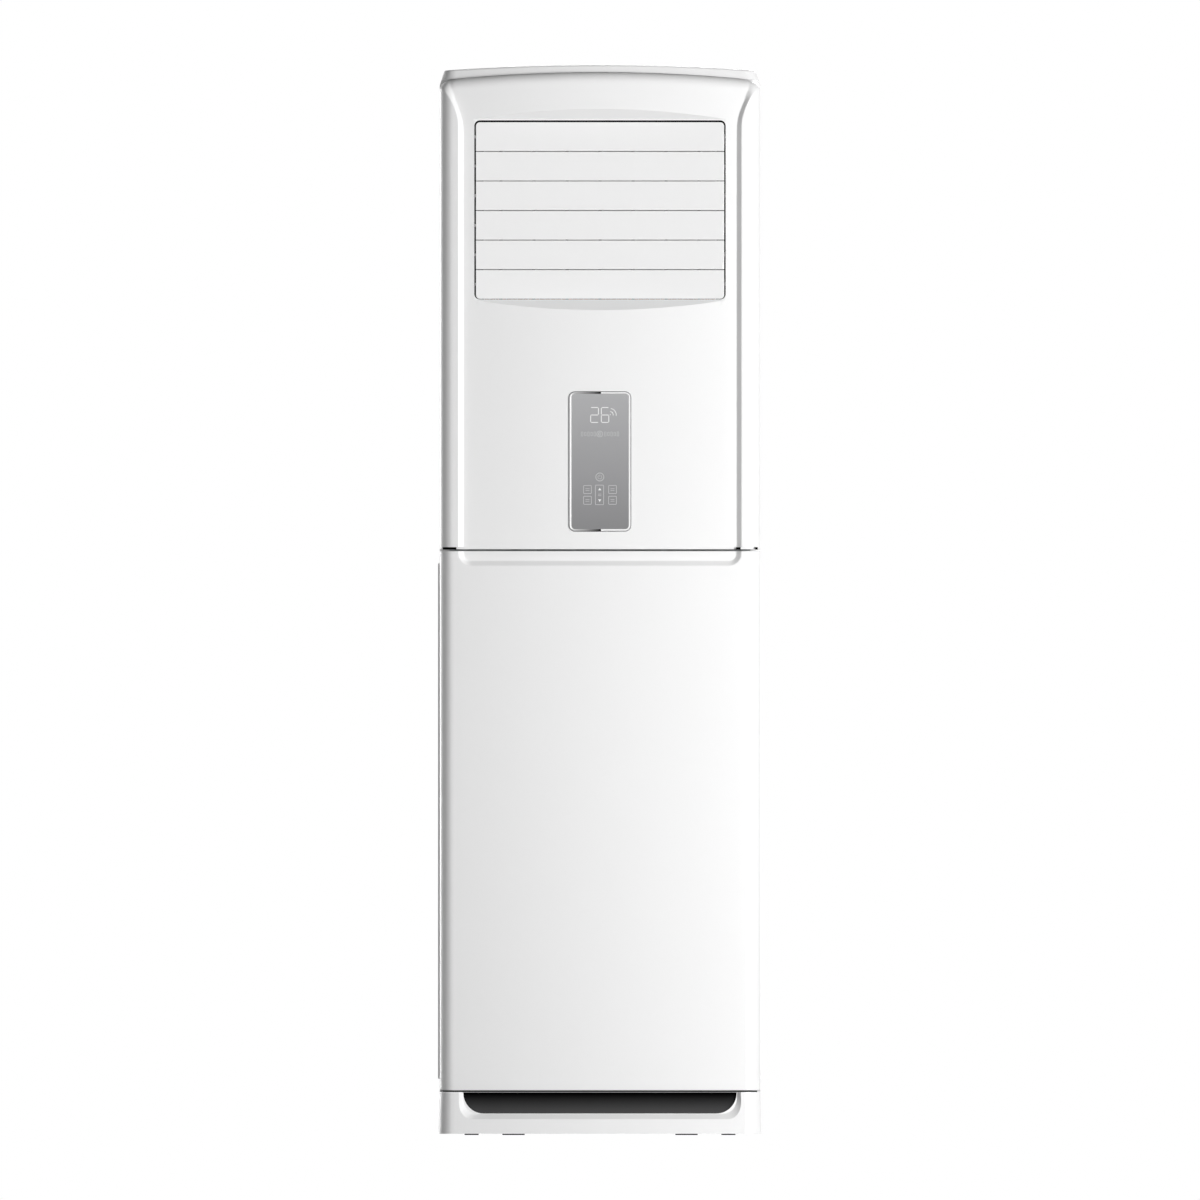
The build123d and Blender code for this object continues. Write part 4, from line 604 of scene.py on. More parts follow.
PRINT = Finish("white_print", (0.80, 0.80, 0.80), 0.4, grain=0.001, bump=0.000001, shift=0.01)
PALE_PRINT = Finish("pale_print", (0.52, 0.52, 0.53), 0.4, grain=0.001, bump=0.000001,
                    shift=0.01)
NET = Netting("filter_netting", (0.10, 0.115, 0.13), 0.6, shift=0.1)


# ---- bowed casing -------------------------------------------------------------------------
class Run(Enum):
    """Stretch of the casing's outline, seen from above."""

    FRONT = 0
    CORNER = 1
    SIDE = 2


@dataclass(frozen=True)
class Columns:
    """Grid columns round the front, from the left side over the front to the right side.

    Args:
        run: number of the stretch that each column is on.
        share: x for the front, else the share of the stretch from 0 to 1.
        side: -1 on the left, 1 on the right.
    """

    run: Array
    share: Array
    side: Array

    @classmethod
    def around(cls, front: Array, corner: int, side: int) -> "Columns":
        """Columns of the right half and their mirror images.

        Args:
            front: x of the lines on the front, from 0.
            corner: divisions of the corner.
            side: divisions of the side.

        Returns:
            The columns from left to right.
        """
        run = np.concatenate([
            np.full(len(front), Run.FRONT.value), np.full(corner, Run.CORNER.value),
            np.full(side, Run.SIDE.value)])
        share = np.concatenate([
            front, np.arange(1, corner + 1) / corner, np.arange(1, side + 1) / side])
        sign = np.concatenate([-np.ones(len(run) - 1), np.ones(len(run))])
        return cls(np.concatenate([run[:0:-1], run]), np.concatenate([share[:0:-1], share]), sign)


@dataclass(frozen=True)
class Bow:
    """Front of the casing seen from above: a wide arc, round corners and straight sides.

    Args:
        radius: of the wide arc.
        reach: how far its middle stands before y = 0.
        half: half of the width.
        corner: radius of the round corners.
        kept: up to this x the columns keep their x when the front is set back.
    """

    radius: float = 1.300
    reach: float = 0.168
    half: float = 0.262
    corner: float = 0.030
    kept: float = 0.216

    @property
    def centre(self) -> float:
        """Y of the arc's centre."""
        return self.radius - self.reach

    @property
    def middle(self) -> float:
        """X of a corner's centre."""
        return self.half - self.corner

    def y(self, x: Array, inset: Array) -> Array:
        """Y of the arc set back by inset: centre - sqrt((radius - inset)^2 - x^2)."""
        return self.centre - np.sqrt((self.radius - inset) ** 2 - x ** 2)

    def around_y(self, x: Array, inset: Array) -> Array:
        """Y of the front with its corners.

        Args:
            x: places across.
            inset: how far they lie behind the front.

        Returns:
            Y of the arc, and past its ends corner y - sqrt(r^2 - (|x| - corner x)^2).
        """
        r = self.corner - inset
        middle_y = self.centre - np.sqrt((self.radius - self.corner) ** 2 - self.middle ** 2)
        over = np.clip(np.abs(x) - self.middle, 0, r)
        ends = middle_y - np.sqrt(r ** 2 - over ** 2)
        arc = self.y(np.clip(x, -self.half, self.half), inset)
        return np.where(np.abs(x) < self.tangent(), arc, ends)

    def tangent(self) -> float:
        """X where the arc meets the corner."""
        return self.radius * self.middle / (self.radius - self.corner)

    def outline(self, columns: Columns, front: Array, around: Array,
                back: float) -> Tuple[Array, Array]:
        """X and y of each column.

        Args:
            columns: the grid columns.
            front: how far the front is set back.
            around: how far the whole outline is set in.
            back: y at which the sides end.

        Returns:
            On the front x as given, eased to the corner's start, with y on the arc; on the corner
            its middle + r * (sin a, -cos a); on the side x = half - around with y even.
        """
        r = self.corner - around
        bow_r = self.radius - front - around
        middle_y = self.centre - np.sqrt((bow_r - r) ** 2 - self.middle ** 2)
        start = np.arcsin(self.middle / (bow_r - r))
        ease = np.clip((columns.share - self.kept) / (self.tangent() - self.kept), 0, 1)
        front_x = columns.share + ease * (bow_r * np.sin(start) - self.tangent())
        angle = start + columns.share * (np.pi / 2 - start)
        side_y = middle_y + columns.share * (back - middle_y)
        runs = [columns.run == Run.FRONT.value, columns.run == Run.CORNER.value]
        side_x = self.half - around + 0 * angle
        x = np.select(runs, [front_x, self.middle + r * np.sin(angle)], side_x)
        flat = self.centre - np.sqrt(bow_r ** 2 - np.minimum(front_x, self.half) ** 2)
        y = np.select(runs, [flat, middle_y - r * np.cos(angle)], side_y)
        return x * columns.side, y


@dataclass(frozen=True)
class Hole:
    """Opening with round corners in a bowed front.

    Args:
        half: half of its width.
        low: z of its foot.
        high: z of its head.
        radius: of its corners.
        steps: divisions of a corner in x and in z.
        rings: rows of points from the arc to the square corner.
    """

    half: float
    low: float
    high: float
    radius: float
    steps: int = 4
    rings: int = 4

    def x_lines(self) -> Array:
        """Grid lines in x: the corner zone in even steps."""
        return np.linspace(self.half - self.radius, self.half, self.steps + 1)

    def z_lines(self) -> Array:
        """Grid lines in z.

        Returns:
            The lower and the upper corner zone in even steps.
        """
        low = np.linspace(self.low, self.low + self.radius, self.steps + 1)
        high = np.linspace(self.high - self.radius, self.high, self.steps + 1)
        return np.concatenate([low, high])

    def holds(self, x: Array, z: Array) -> Array:
        """True inside the square outline."""
        return (np.abs(x) < self.half) & (z > self.low) & (z < self.high)

    def corners(self) -> List[Tuple[Array, Array, bool]]:
        """Fillings between each square corner and its arc.

        Returns:
            For each corner x, z and whether its faces are reversed. A row runs from the arc to
            the square; the columns follow arc and square together.
        """
        way = np.linspace(0, 2, 2 * self.steps + 1)
        turn = np.linspace(0, np.pi / 2, len(way))
        arc = np.stack([np.sin(turn), np.cos(turn)])
        square = np.minimum(1.0, np.stack([way, way[::-1]]))
        share = np.linspace(0, 1, self.rings)[:, None]
        u, v = (a + share * (s - a) for a, s in zip(arc, square))
        found = []
        for side in (-1, 1):
            for up in (-1, 1):
                z0 = self.high - self.radius if up > 0 else self.low + self.radius
                x = side * (self.half - self.radius + u * self.radius)
                found.append((x, z0 + up * v * self.radius, side * up > 0))
        return found


@dataclass
class Moulding:
    """Base of the white front mouldings: a bowed shell with a wall and openings.

    Args:
        bow: outline seen from above.
        holes: openings in it.
        wall: thickness.
        back: y at which its sides end.
        edge: radius of its lower edge and of a plain upper edge.
        flange: how far such an edge turns inwards.
        depth: how far the face lies back between the pillars.
        recess_half: half of the width of that face.
        soft: half length of the rounded corners of a slope.
    """

    bow: Bow = field(default_factory=Bow)
    holes: Tuple[Hole, ...] = ()
    wall: float = 0.003
    back: float = -0.095
    edge: float = 0.0008
    flange: float = 0.018
    depth: float = 0.008
    recess_half: float = 0.2235
    soft: float = 0.0006

    def set_back(self, x: Array, z: Array, inset: float) -> Array:
        """How far the front lies behind the bow at a place."""
        raise NotImplementedError

    def heights(self, x: Array, inset: float) -> Tuple[Array, Array]:
        """Z of the grid's rows, and how far each is set in."""
        raise NotImplementedError

    def columns(self) -> Columns:
        """Columns of the grid."""
        raise NotImplementedError

    def carve(self, x: Array, y: Array, z: Array, inset: float) -> Array:
        """Y after local cuts; none by default."""
        return y

    def skin(self, inset: float) -> Surface:
        """One side of the wall.

        Args:
            inset: 0 for the outside, the wall for the inside.

        Returns:
            Points outline(set_back(x, z) + inset) at height z.
        """
        columns = self.columns()
        nominal, _ = self.bow.outline(columns, np.zeros(1), np.zeros(1), self.back)
        z, around = self.heights(nominal, inset)
        front = self.set_back(nominal, z, inset)
        x, y = self.bow.outline(columns, front, around, self.back)
        y = self.carve(x, y, z, inset)
        sheet = Surface.grid(np.stack([x, y, z], axis=-1))
        spots = np.stack([nominal + 0 * z, z], axis=-1).reshape(-1, 2)
        middle = spots[sheet.faces].mean(axis=1)
        keep = np.ones(len(sheet.faces), bool)
        for hole in self.holes:
            keep &= ~hole.holds(middle[:, 0], middle[:, 1])
        parts = [Surface(sheet.points, sheet.faces[keep])]
        for hole in self.holes:
            parts += [self._corner(*corner, inset) for corner in hole.corners()]
        return Surface.join(parts)

    def _corner(self, x: Array, z: Array, turn: bool, inset: float) -> Surface:
        """Filling of one rounded corner, lifted onto the bow.

        Args:
            x: places across.
            z: heights.
            turn: whether the faces are reversed.
            inset: 0 for the outside, the wall for the inside.

        Returns:
            The patch.
        """
        y = self.bow.y(x, self.set_back(x, z, inset))
        patch = Surface.grid(np.stack([x, self.carve(x, y, z, inset), z], axis=-1))
        return Surface(patch.points, patch.faces[:, ::-1]) if turn else patch

    def shell(self, name: str) -> bpy.types.Object:
        """Both skins closed into a wall and dressed in the white of the front."""
        sides = [self.skin(inset) for inset in (0.0, self.wall)]
        return closed_wall(*sides).build(name, Slot.SHELL, FINISHES[Slot.SHELL])


@dataclass
class UpperPanel(Moulding):
    """Upper front panel: face set back between two pillars, outlet, lens slopes and shoulder.

    Besides the sizes of a moulding it holds, in rising order of z: its lower edge, the step and the
    groove over it, the display's window, the outlet with the lip and gap round it, the level over
    the lens slopes (forehead), the place where the pillars' slopes turn off sideways (run_out) and
    the shoulder under the arched top. Fields that end in row, rows, column or columns set how fine
    the grid is.
    """

    low: float = 0.958
    step: float = 0.0035
    groove: float = 0.0008
    groove_up: float = 0.0055
    over_groove: float = 0.0045
    crown: float = 1.7375
    arch: float = 2.600
    shoulder: float = 0.017
    tail: Pair = (0.006, 0.011)
    outlet: Hole = field(default_factory=lambda: Hole(0.2055, 1.3665, 1.6595, 0.009))
    window: Hole = field(default_factory=lambda: Hole(0.0512, 0.9867, 1.2163, 0.0103, 3))
    bend: float = 0.3
    lip: float = 0.002
    gap: float = 0.001
    tiny: float = 0.00004
    split: float = 0.00005
    under_lens: float = 1.335
    lens_run: Tuple[float, ...] = (0.34, 0.67)
    lens_rows: Tuple[float, ...] = (0.0, 0.2, 0.4, 0.6, 0.8, 1.0)
    forehead: float = 1.690
    forehead_rows: int = 22
    brow_rows: int = 24
    shoulder_rows: int = 13
    run_out: Pair = (0.2374, 1.6903)
    run_out_r: float = 0.024
    run_out_h: float = 0.05
    fade: float = 0.25
    row: float = 0.020
    foot_row: float = 0.006
    column: float = 0.009
    rim_column: float = 0.003
    flat_column: float = 0.0015
    slope_column: float = 0.0012
    soft_column: float = 0.0004
    corner_columns: int = 28
    side_columns: int = 5

    def __post_init__(self) -> None:
        """The outlet and the display's window are left open."""
        self.holes = (self.outlet, self.window)

    @property
    def rim_y(self) -> float:
        """Y of the outlet's rim."""
        return float(self.bow.y(np.array(self.outlet.half), self.depth))

    def arch_z(self, x: Array) -> Array:
        """Height of the top: crown - (arch - sqrt(arch^2 - x^2))."""
        return self.crown - self.arch + np.sqrt(self.arch ** 2 - x ** 2)

    def set_back(self, x: Array, z: Array, inset: float) -> Array:
        """Depth of the face: a slope inwards from a line up each pillar that turns off sideways.

        Args:
            x: places across.
            z: heights.
            inset: 0 for the outside, the wall for the inside.

        Returns:
            The line is a vertical and a slanted edge joined by a round union; past it the depth
            rises over the slope's width, which grows towards the top.
        """
        r = self.run_out_r
        upright = np.abs(x) - (self.recess_half + self.depth)
        slanted = ((np.abs(x) - self.run_out[0]) - (z - self.run_out[1])) / ROOT2
        line = np.maximum(r, np.minimum(upright, slanted)) - np.hypot(
            np.maximum(r - upright, 0), np.maximum(r - slanted, 0))
        width = self.depth + self.fade * np.clip(z - self.run_out[1], 0, self.run_out_h)
        deep = ramp(inset * (ROOT2 - 1) - line, width, self.depth, self.soft)
        foot = self.low + self.step + inset
        deep = np.where(z < foot - self.split, self.depth, deep)
        start = self.low + self.groove_up
        in_groove = (z > start) & (z < start + self.groove)
        in_groove &= np.abs(x) < self.recess_half - self.wall
        return deep + inset + np.where(in_groove & (inset == 0), self.groove, 0.0)

    def carve(self, x: Array, y: Array, z: Array, inset: float) -> Array:
        """Lens slopes: planes at 45 degrees from the rim forwards, over and under the outlet.

        Args:
            x: places across.
            y: depth of the face there.
            z: heights.
            inset: 0 for the outside, the wall for the inside.

        Returns:
            The larger of y and rim y - height past the rim, between the outlet's sides.
        """
        grow = inset * (ROOT2 - 1)
        rise = z - (self.outlet.high + self.lip + grow)
        fall = (self.outlet.low - self.gap - grow) - z
        slope = self.rim_y + inset - np.maximum(0.0, np.maximum(rise, fall))
        over = (np.abs(x) <= self.outlet.half + SAME_POINT) & (z > self.window.high)
        return np.where(over, np.maximum(y, slope), y)

    def heights(self, x: Array, inset: float) -> Tuple[Array, Array]:
        """Rows from the bottom flange over the face and its shoulder to the top flange.

        Args:
            x: nominal x of the columns.
            inset: 0 for the outside, the wall for the inside.

        Returns:
            z by row and column, and how far each row is set in.
        """
        outlet, window, tiny = self.outlet, self.window, self.tiny
        face_y = self.bow.y(np.minimum(np.abs(x), outlet.half), self.depth)
        lens = np.maximum(self.rim_y - face_y, self.gap)
        foot = self.low + self.step + inset
        start = self.low + self.groove_up
        end = start + self.groove
        level = np.concatenate([
            [foot - 2 * tiny, foot + tiny],
            [start - tiny + inset, start + tiny + inset],
            [end - tiny + inset, end + tiny + inset],
            stretch(start + self.over_groove, window.low, self.foot_row)[:-1],
            window.z_lines()[: window.steps + 1],
            stretch(window.low + window.radius, window.high - window.radius, self.row)[1:-1],
            window.z_lines()[window.steps + 1:],
            stretch(window.high, self.under_lens, self.row)[1:]])
        rows = [np.full_like(x, z) for z in level]
        under, over = outlet.low - self.gap, outlet.high + self.lip
        rows += [level[-1] + share * (under - lens - level[-1]) for share in self.lens_run]
        rows += [under - lens * share for share in self.lens_rows[::-1]]
        bars = lines(outlet.z_lines(), stretch(
            outlet.low + outlet.radius, outlet.high - outlet.radius, self.row))
        rows += [np.full_like(x, z) for z in bars]
        rows += [over + lens * share for share in self.lens_rows]
        rows += [over + lens + share * (self.forehead - over - lens)
                 for share in np.linspace(0, 1, self.forehead_rows)[1:]]
        top = self.arch_z(x)
        roll_z = top - self.shoulder
        rows += [self.forehead + share * (roll_z - self.forehead)
                 for share in np.linspace(0, 1, self.brow_rows)[1:]]
        around = [inset] * len(rows)
        turn = np.linspace(0, np.pi / 2, self.shoulder_rows)[1:]
        small = self.shoulder - inset
        rows += [roll_z + small * math.sin(a) for a in turn]
        around += [self.shoulder - small * math.cos(a) for a in turn]
        rows += [top - inset] * len(self.tail)
        around += [self.shoulder + more for more in self.tail]
        low = self.low + inset
        below = [(low, self.flange), (low, self.edge + inset),
                 (low + self.bend * self.edge, self.bend * self.edge + inset),
                 (low + self.edge, inset)]
        z = np.stack([np.full_like(x, zed) for zed, _ in below] + rows)
        return z, np.array([a for _, a in below] + around)[:, None]

    def columns(self) -> Columns:
        """Grid columns on every edge of the openings and of the pillars' slopes.

        Returns:
            Columns that are finer the sharper the front bends there.
        """
        outlet, window, soft, near = self.outlet, self.window, self.soft, self.split
        start, end = self.recess_half, self.recess_half + self.depth
        inner = start - self.wall
        front = lines(
            stretch(0, window.half - window.radius, self.column), window.x_lines(),
            stretch(window.half, outlet.half - outlet.radius, self.column),
            outlet.x_lines(), stretch(outlet.half, self.bow.kept, self.rim_column),
            stretch(self.bow.kept, inner - near, self.flat_column), np.array([inner + near]),
            stretch(inner + near, start - soft, self.slope_column),
            stretch(start - soft, start + soft, self.soft_column),
            stretch(start + soft, end - soft, self.slope_column),
            stretch(end - soft, end + soft, self.soft_column),
            stretch(end + soft, self.bow.tangent(), self.slope_column))
        return Columns.around(front, self.corner_columns, self.side_columns)

    def build(self) -> None:
        """Makes the panel and puts it in the place of its plain solid."""
        piece = self.shell("upper_panel_shell")
        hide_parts("upper_front_panel")
        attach(piece, CASING)


@dataclass
class LowerPanel(Moulding):
    """Lower front panel: plain bow that ends above in the sloped foot of the set-back face.

    Besides the sizes of a moulding it holds its lower and upper edge, and height and corner radius
    of the ledge on which the set-back face ends.
    """

    low: float = 0.073
    high: float = 0.955
    ledge: float = 0.939
    ledge_r: float = 0.013
    first_row: float = 0.004
    row: float = 0.030
    column: float = 0.012
    fine: float = 0.0009
    edge_rows: Tuple[float, ...] = (0.0, 0.35, 0.7, 1.0)
    corner_columns: int = 24
    side_columns: int = 5

    def set_back(self, x: Array, z: Array, inset: float) -> Array:
        """Depth inside a rounded box that is open above.

        Args:
            x: places across.
            z: heights.
            inset: 0 for the outside, the wall for the inside.

        Returns:
            A ramp over the distance to the box, which is the length of the part past its inner
            corner, less the radius.
        """
        half = self.recess_half + self.depth
        foot = self.ledge - self.depth
        r = self.ledge_r + self.depth
        u = np.maximum(np.abs(x) - (half - r), 0)
        v = np.maximum((foot + r) - z, 0)
        beyond = np.maximum(np.abs(x) - half, foot - z)
        line = np.where((u > 0) & (v > 0), np.hypot(u, v) - r, beyond)
        return ramp(inset * (ROOT2 - 1) - line, self.depth, self.depth, self.soft) + inset

    def heights(self, x: Array, inset: float) -> Tuple[Array, Array]:
        """Rows from the bottom flange to the top flange; both edges are rounded.

        Args:
            x: nominal x of the columns.
            inset: 0 for the outside, the wall for the inside.

        Returns:
            z by row and column, and how far each row is set in.
        """
        turn = np.array(self.edge_rows) * np.pi / 2
        radius = max(self.edge - inset, 0.0)
        floor = self.low + inset
        roof = self.high - inset
        edge = self.edge if inset == 0 else 0.0
        slope = self.ledge - self.depth - self.ledge_r
        body = np.concatenate([
            stretch(self.low + self.first_row, slope, self.row),
            stretch(slope, self.ledge + self.ledge_r / 2, self.fine)[1:]])
        z = np.concatenate([[floor], floor + edge - radius * np.cos(turn), body,
                            roof - edge + radius * np.sin(turn), [roof]])
        around = np.concatenate([
            [self.flange], inset + edge - radius * np.sin(turn), np.full(len(body), inset),
            inset + edge - radius * np.cos(turn), [self.flange]])
        return z[:, None] + 0 * x, around[:, None]

    def columns(self) -> Columns:
        """Grid columns of the plain bow.

        Returns:
            Columns that are fine where the side slopes run.
        """
        inner = self.recess_half - self.ledge_r
        front = lines(stretch(0, inner, self.column),
                      stretch(inner, self.bow.tangent(), self.fine))
        return Columns.around(front, self.corner_columns, self.side_columns)

    def build(self) -> None:
        """Makes the panel and puts it in the place of its plain solid."""
        piece = self.shell("lower_panel_shell")
        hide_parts("lower_front_panel")
        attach(piece, CASING)


# ---- display ------------------------------------------------------------------------------
def round_rectangle(half_x: float, half_z: float, radius: float,
                    steps: int) -> Tuple[Array, Array]:
    """Round rectangle about the origin, counter-clockwise as seen from the front.

    Args:
        half_x: half of its width.
        half_z: half of its height.
        radius: of its corners.
        steps: divisions of each corner.

    Returns:
        Points and outward directions, (n, 2) each, in x and z.
    """
    turn = np.linspace(0, np.pi / 2, steps + 1)
    angle = (np.arange(4)[:, None] * np.pi / 2 + turn).reshape(-1)
    out = np.stack([np.cos(angle), np.sin(angle)], axis=-1)
    quarter = np.repeat(np.array([[1, 1], [-1, 1], [-1, -1], [1, -1]]), steps + 1, axis=0)
    middle = quarter * (half_x - radius, half_z - radius)
    return middle + radius * out, out


def stroke(path: Array, width: float, closed: bool = False) -> Surface:
    """Flat line of even width along a path in x and z, facing the front at y = 0.

    Args:
        path: (n, 2) points.
        width: of the line.
        closed: whether the last point joins the first.

    Returns:
        Points path +- half a width along the mitred normal.
    """
    after = np.roll(path, -1, axis=0) - path
    before = path - np.roll(path, 1, axis=0)
    if not closed:
        after[-1], before[0] = before[-1], after[0]
    ways = [way / np.linalg.norm(way, axis=1, keepdims=True) for way in (before, after)]
    middle = ways[0] + ways[1]
    middle /= np.linalg.norm(middle, axis=1, keepdims=True)
    normal = np.stack([-middle[:, 1], middle[:, 0]], axis=1)
    reach = width / 2 / np.maximum(0.5, (middle * ways[1]).sum(axis=1, keepdims=True))
    edges = np.stack([path - normal * reach, path + normal * reach])
    points = np.stack([edges[..., 0], np.zeros(edges.shape[:2]), edges[..., 1]], axis=-1)
    return Surface.grid(points, wrap_columns=closed)


def inked(parts: Sequence[Surface], front_y: float, thickness: float) -> Surface:
    """Flat figures as a thin layer.

    Args:
        parts: figures at y = 0.
        front_y: where their front lies.
        thickness: of the layer.

    Returns:
        The figures moved to front_y, walled to front_y + thickness.
    """
    flat = Surface.join(parts)
    return walled(Surface(flat.points + (0, front_y, 0), flat.faces),
                  Surface(flat.points + (0, front_y + thickness, 0), flat.faces))


@dataclass(frozen=True)
class PaintedReflectionChrome(BrushedMetal):
    """Bright plating with a painted reflection: a dark edge of the studio painted black in half of
    its level sides.
    """

    middle: float = 1.1015
    level: float = 0.1100
    reach: float = 0.047
    turn_x: float = 0.0015
    start: float = 0.25
    black: float = 0.004

    def _color(self, tree: Tree) -> Wire:
        """Painted reflection: falls from white to black from the left corner to the middle of top
        and bottom.

        Args:
            tree: the material's tree.

        Returns:
            A wire with the colour; the dark share is start + (1 - start) * way, inside the level
            stretches only.
        """
        x = tree.axis("X")
        on_level = (tree.axis("Z") - self.middle).size() > self.level
        fall = self.start + (1.0 - self.start) * ((x + self.reach) / self.reach)
        dark = on_level * (x < self.turn_x) * (x > -self.reach) * fall
        return tree.blend(dark, self.color, (self.black,) * 3)


# Both platings carry the painted reflection: black on the left half of their level top and bottom.
RING = PaintedReflectionChrome("ring_chrome", (0.93, 0.93, 0.93), 0.25, metal=0.6, grain=0.01, bump=0.0,
                  shift=0.01)
SMOKED = PaintedReflectionChrome("smoked_chrome", (0.28, 0.28, 0.29), 0.3, metal=0.6, grain=0.01, bump=0.0,
                    shift=0.01)


@dataclass(frozen=True)
class Key:
    """Touch key in the print: a rounded frame with two strokes in place of its words.

    Args:
        x: middle of its frame.
        z: middle of its frame.
        half: half of its width and height.
        words: left and right end of the strokes.
        rows: heights of the strokes.
    """

    x: float
    z: float
    half: Pair
    words: Pair
    rows: Pair


@dataclass
class Display:
    """Display in the front: plated ring and the print on its glass.

    The opening comes first, then the profiles of ring and lip as distances in from the outer edge
    and shares of the way to the front, then the printed figures from top to bottom. A field that
    ends in _line is a share of one of the two line widths, line and fine.
    """

    half_x: float = 0.0509
    half_z: float = 0.1145
    radius: float = 0.010
    corner_steps: int = 12
    middle: float = 1.1015
    back: float = -0.1554
    front: float = -0.1612
    glass_y: float = -0.1607
    proud: float = 0.00006
    print_t: float = 0.00005
    crease: float = 28.0
    ring_inset: Tuple[float, ...] = (0.0012, 0.0012, 0.0015, 0.0032, 0.0039, 0.0039)
    ring_rise: Tuple[float, ...] = (0.0, 0.95, 1.0, 1.0, 0.92, 0.0)
    lip_inset: Tuple[float, ...] = (0.0, 0.0, 0.0004, 0.0011, 0.0011)
    lip_rise: Tuple[float, ...] = (0.0, 0.8, 0.93, 0.93, 0.0)
    line: float = 0.0014
    fine: float = 0.0007
    arc_points: int = 15
    round_steps: int = 4
    digits: Tuple[Tuple[str, float, float], ...] = (
        ("abged", -0.0153, 0.0128), ("afgedc", 0.0022, 0.0122))
    digit_top: float = 1.1898
    digit_h: float = 0.0244
    signal: Pair = (0.0158, 1.1776)
    signal_turn: Pair = (-8.0, 80.0)
    signal_radii: Tuple[float, ...] = (0.0012, 0.0058, 0.0108)
    arrow_x: float = -0.0005
    arrow_half: float = 0.0026
    arrow_reach: Pair = (0.7, 0.9)
    arrows: Tuple[Pair, ...] = ((1.0562, 1.0), (1.0378, -1.0))
    dial: Pair = (-0.0005, 1.1465)
    dial_arcs: Tuple[Tuple[float, Pair, float], ...] = (
        (0.0048, (0.0, 359.0), 1.3), (0.0020, (20.0, 340.0), 1.5))
    signs: int = 5
    sign_start: float = 0.0085
    sign_pitch: float = 0.0052
    sign_half: Pair = (0.0013, 0.0034)
    sign_drop: float = 0.0006
    sign_r: float = 0.0008
    sign_line: float = 0.8
    power: Pair = (-0.0003, 1.0762)
    power_radii: Pair = (0.0066, 0.0032)
    power_gap: Pair = (125.0, 415.0)
    power_bar: Pair = (1.0765, 1.0802)
    ring_line: float = 0.75
    key_x: float = 0.0205
    key_rows: Pair = (1.0557, 1.0381)
    key_half: Pair = (0.0064, 0.0066)
    key_word: float = 0.0032
    key_strokes: Pair = (-0.0015, 0.0013)
    key_r: float = 0.0014
    key_line: float = 0.6
    rocker: Key = Key(-0.0008, 1.0469, (0.0067, 0.0160), (-0.0032, 0.0022), (1.0456, 1.0482))

    def swept(self, inset: Sequence[float], rise: Sequence[float]) -> Surface:
        """Closed profile swept round the opening.

        Args:
            inset: distance of each profile point in from the outer edge.
            rise: its share of the way from the back to the front.

        Returns:
            Points path - inset * outward direction; y between back and front.
        """
        path, out = round_rectangle(self.half_x, self.half_z, self.radius, self.corner_steps)
        spot = path - np.array(inset)[:, None, None] * out
        y = self.back + np.array(rise) * (self.front - self.back)
        points = np.stack([spot[..., 0], np.repeat(y[:, None], len(path), axis=1),
                           spot[..., 1] + self.middle], axis=-1)
        return Surface.grid(points[:, ::-1], wrap_rows=True, wrap_columns=True)

    def digit(self, lit: str, x: float, width: float) -> List[Surface]:
        """Seven-segment digit.

        Args:
            lit: letters a to g of the segments that are lit, in the usual order.
            x: left end.
            width: of the digit.

        Returns:
            A short bar for each segment.
        """
        right, z = x + width, self.digit_top
        half, low = z - self.digit_h / 2, z - self.digit_h
        ends = {"a": (x, z, right, z), "b": (right, z, right, half), "c": (right, half, right, low),
                "d": (x, low, right, low), "e": (x, half, x, low), "f": (x, z, x, half),
                "g": (x, half, right, half)}
        bars = np.array([ends[letter] for letter in lit]).reshape(-1, 2, 2)
        way = np.sign(bars[:, 1] - bars[:, 0]) * self.fine
        return [stroke(bar + [step, -step], self.line) for bar, step in zip(bars, way)]

    def triangle(self, z: float, up: float) -> Surface:
        """Solid arrow head.

        Args:
            z: height of its middle.
            up: 1 where it points up, -1 where it points down.

        Returns:
            One face, two of whose corners meet in the tip.
        """
        x, half = self.arrow_x, self.arrow_half
        base, tip = z - up * half * self.arrow_reach[0], z + up * half * self.arrow_reach[1]
        corners = np.array([[[x - half, 0, base], [x + half, 0, base]], [[x, 0, tip], [x, 0, tip]]])
        return Surface.grid(corners if up > 0 else corners[:, ::-1])

    def arc(self, spot: Pair, radius: float, turn: Pair, width: float) -> Surface:
        """Arc line.

        Args:
            spot: x and z of its middle.
            radius: of the arc.
            turn: first and last angle in degrees.
            width: of the line.

        Returns:
            Points spot + radius * (cos, sin) along the arc, with the line's width.
        """
        angle = np.radians(np.linspace(*turn, self.arc_points))
        x, z = spot
        path = np.stack([x + radius * np.cos(angle), z + radius * np.sin(angle)], axis=1)
        return stroke(path, width)

    def bar(self, start: Pair, end: Pair) -> Surface:
        """Fine straight line."""
        return stroke(np.array([start, end]), self.fine)

    def frame_line(self, spot: Pair, half: Pair, radius: float, width: float) -> Surface:
        """Outline of a rounded figure."""
        path, _ = round_rectangle(*half, radius, self.round_steps)
        return stroke(path + spot, width, closed=True)

    def pressed(self, key: Key) -> List[Surface]:
        """Touch key as it is printed.

        Args:
            key: the key.

        Returns:
            Its frame and the strokes in it.
        """
        frame_width = self.line * self.key_line
        return [self.frame_line((key.x, key.z), key.half, self.key_r, frame_width)] + [
            self.bar((key.words[0], z), (key.words[1], z)) for z in key.rows]

    def bright(self) -> List[Surface]:
        """Figures that stand out.

        Returns:
            Temperature, signal arcs and the two arrow heads.
        """
        figures = [bar for digit in self.digits for bar in self.digit(*digit)]
        width = self.line * self.ring_line
        figures += [self.arc(self.signal, r, self.signal_turn, width) for r in self.signal_radii]
        return figures + [self.triangle(*arrow) for arrow in self.arrows]

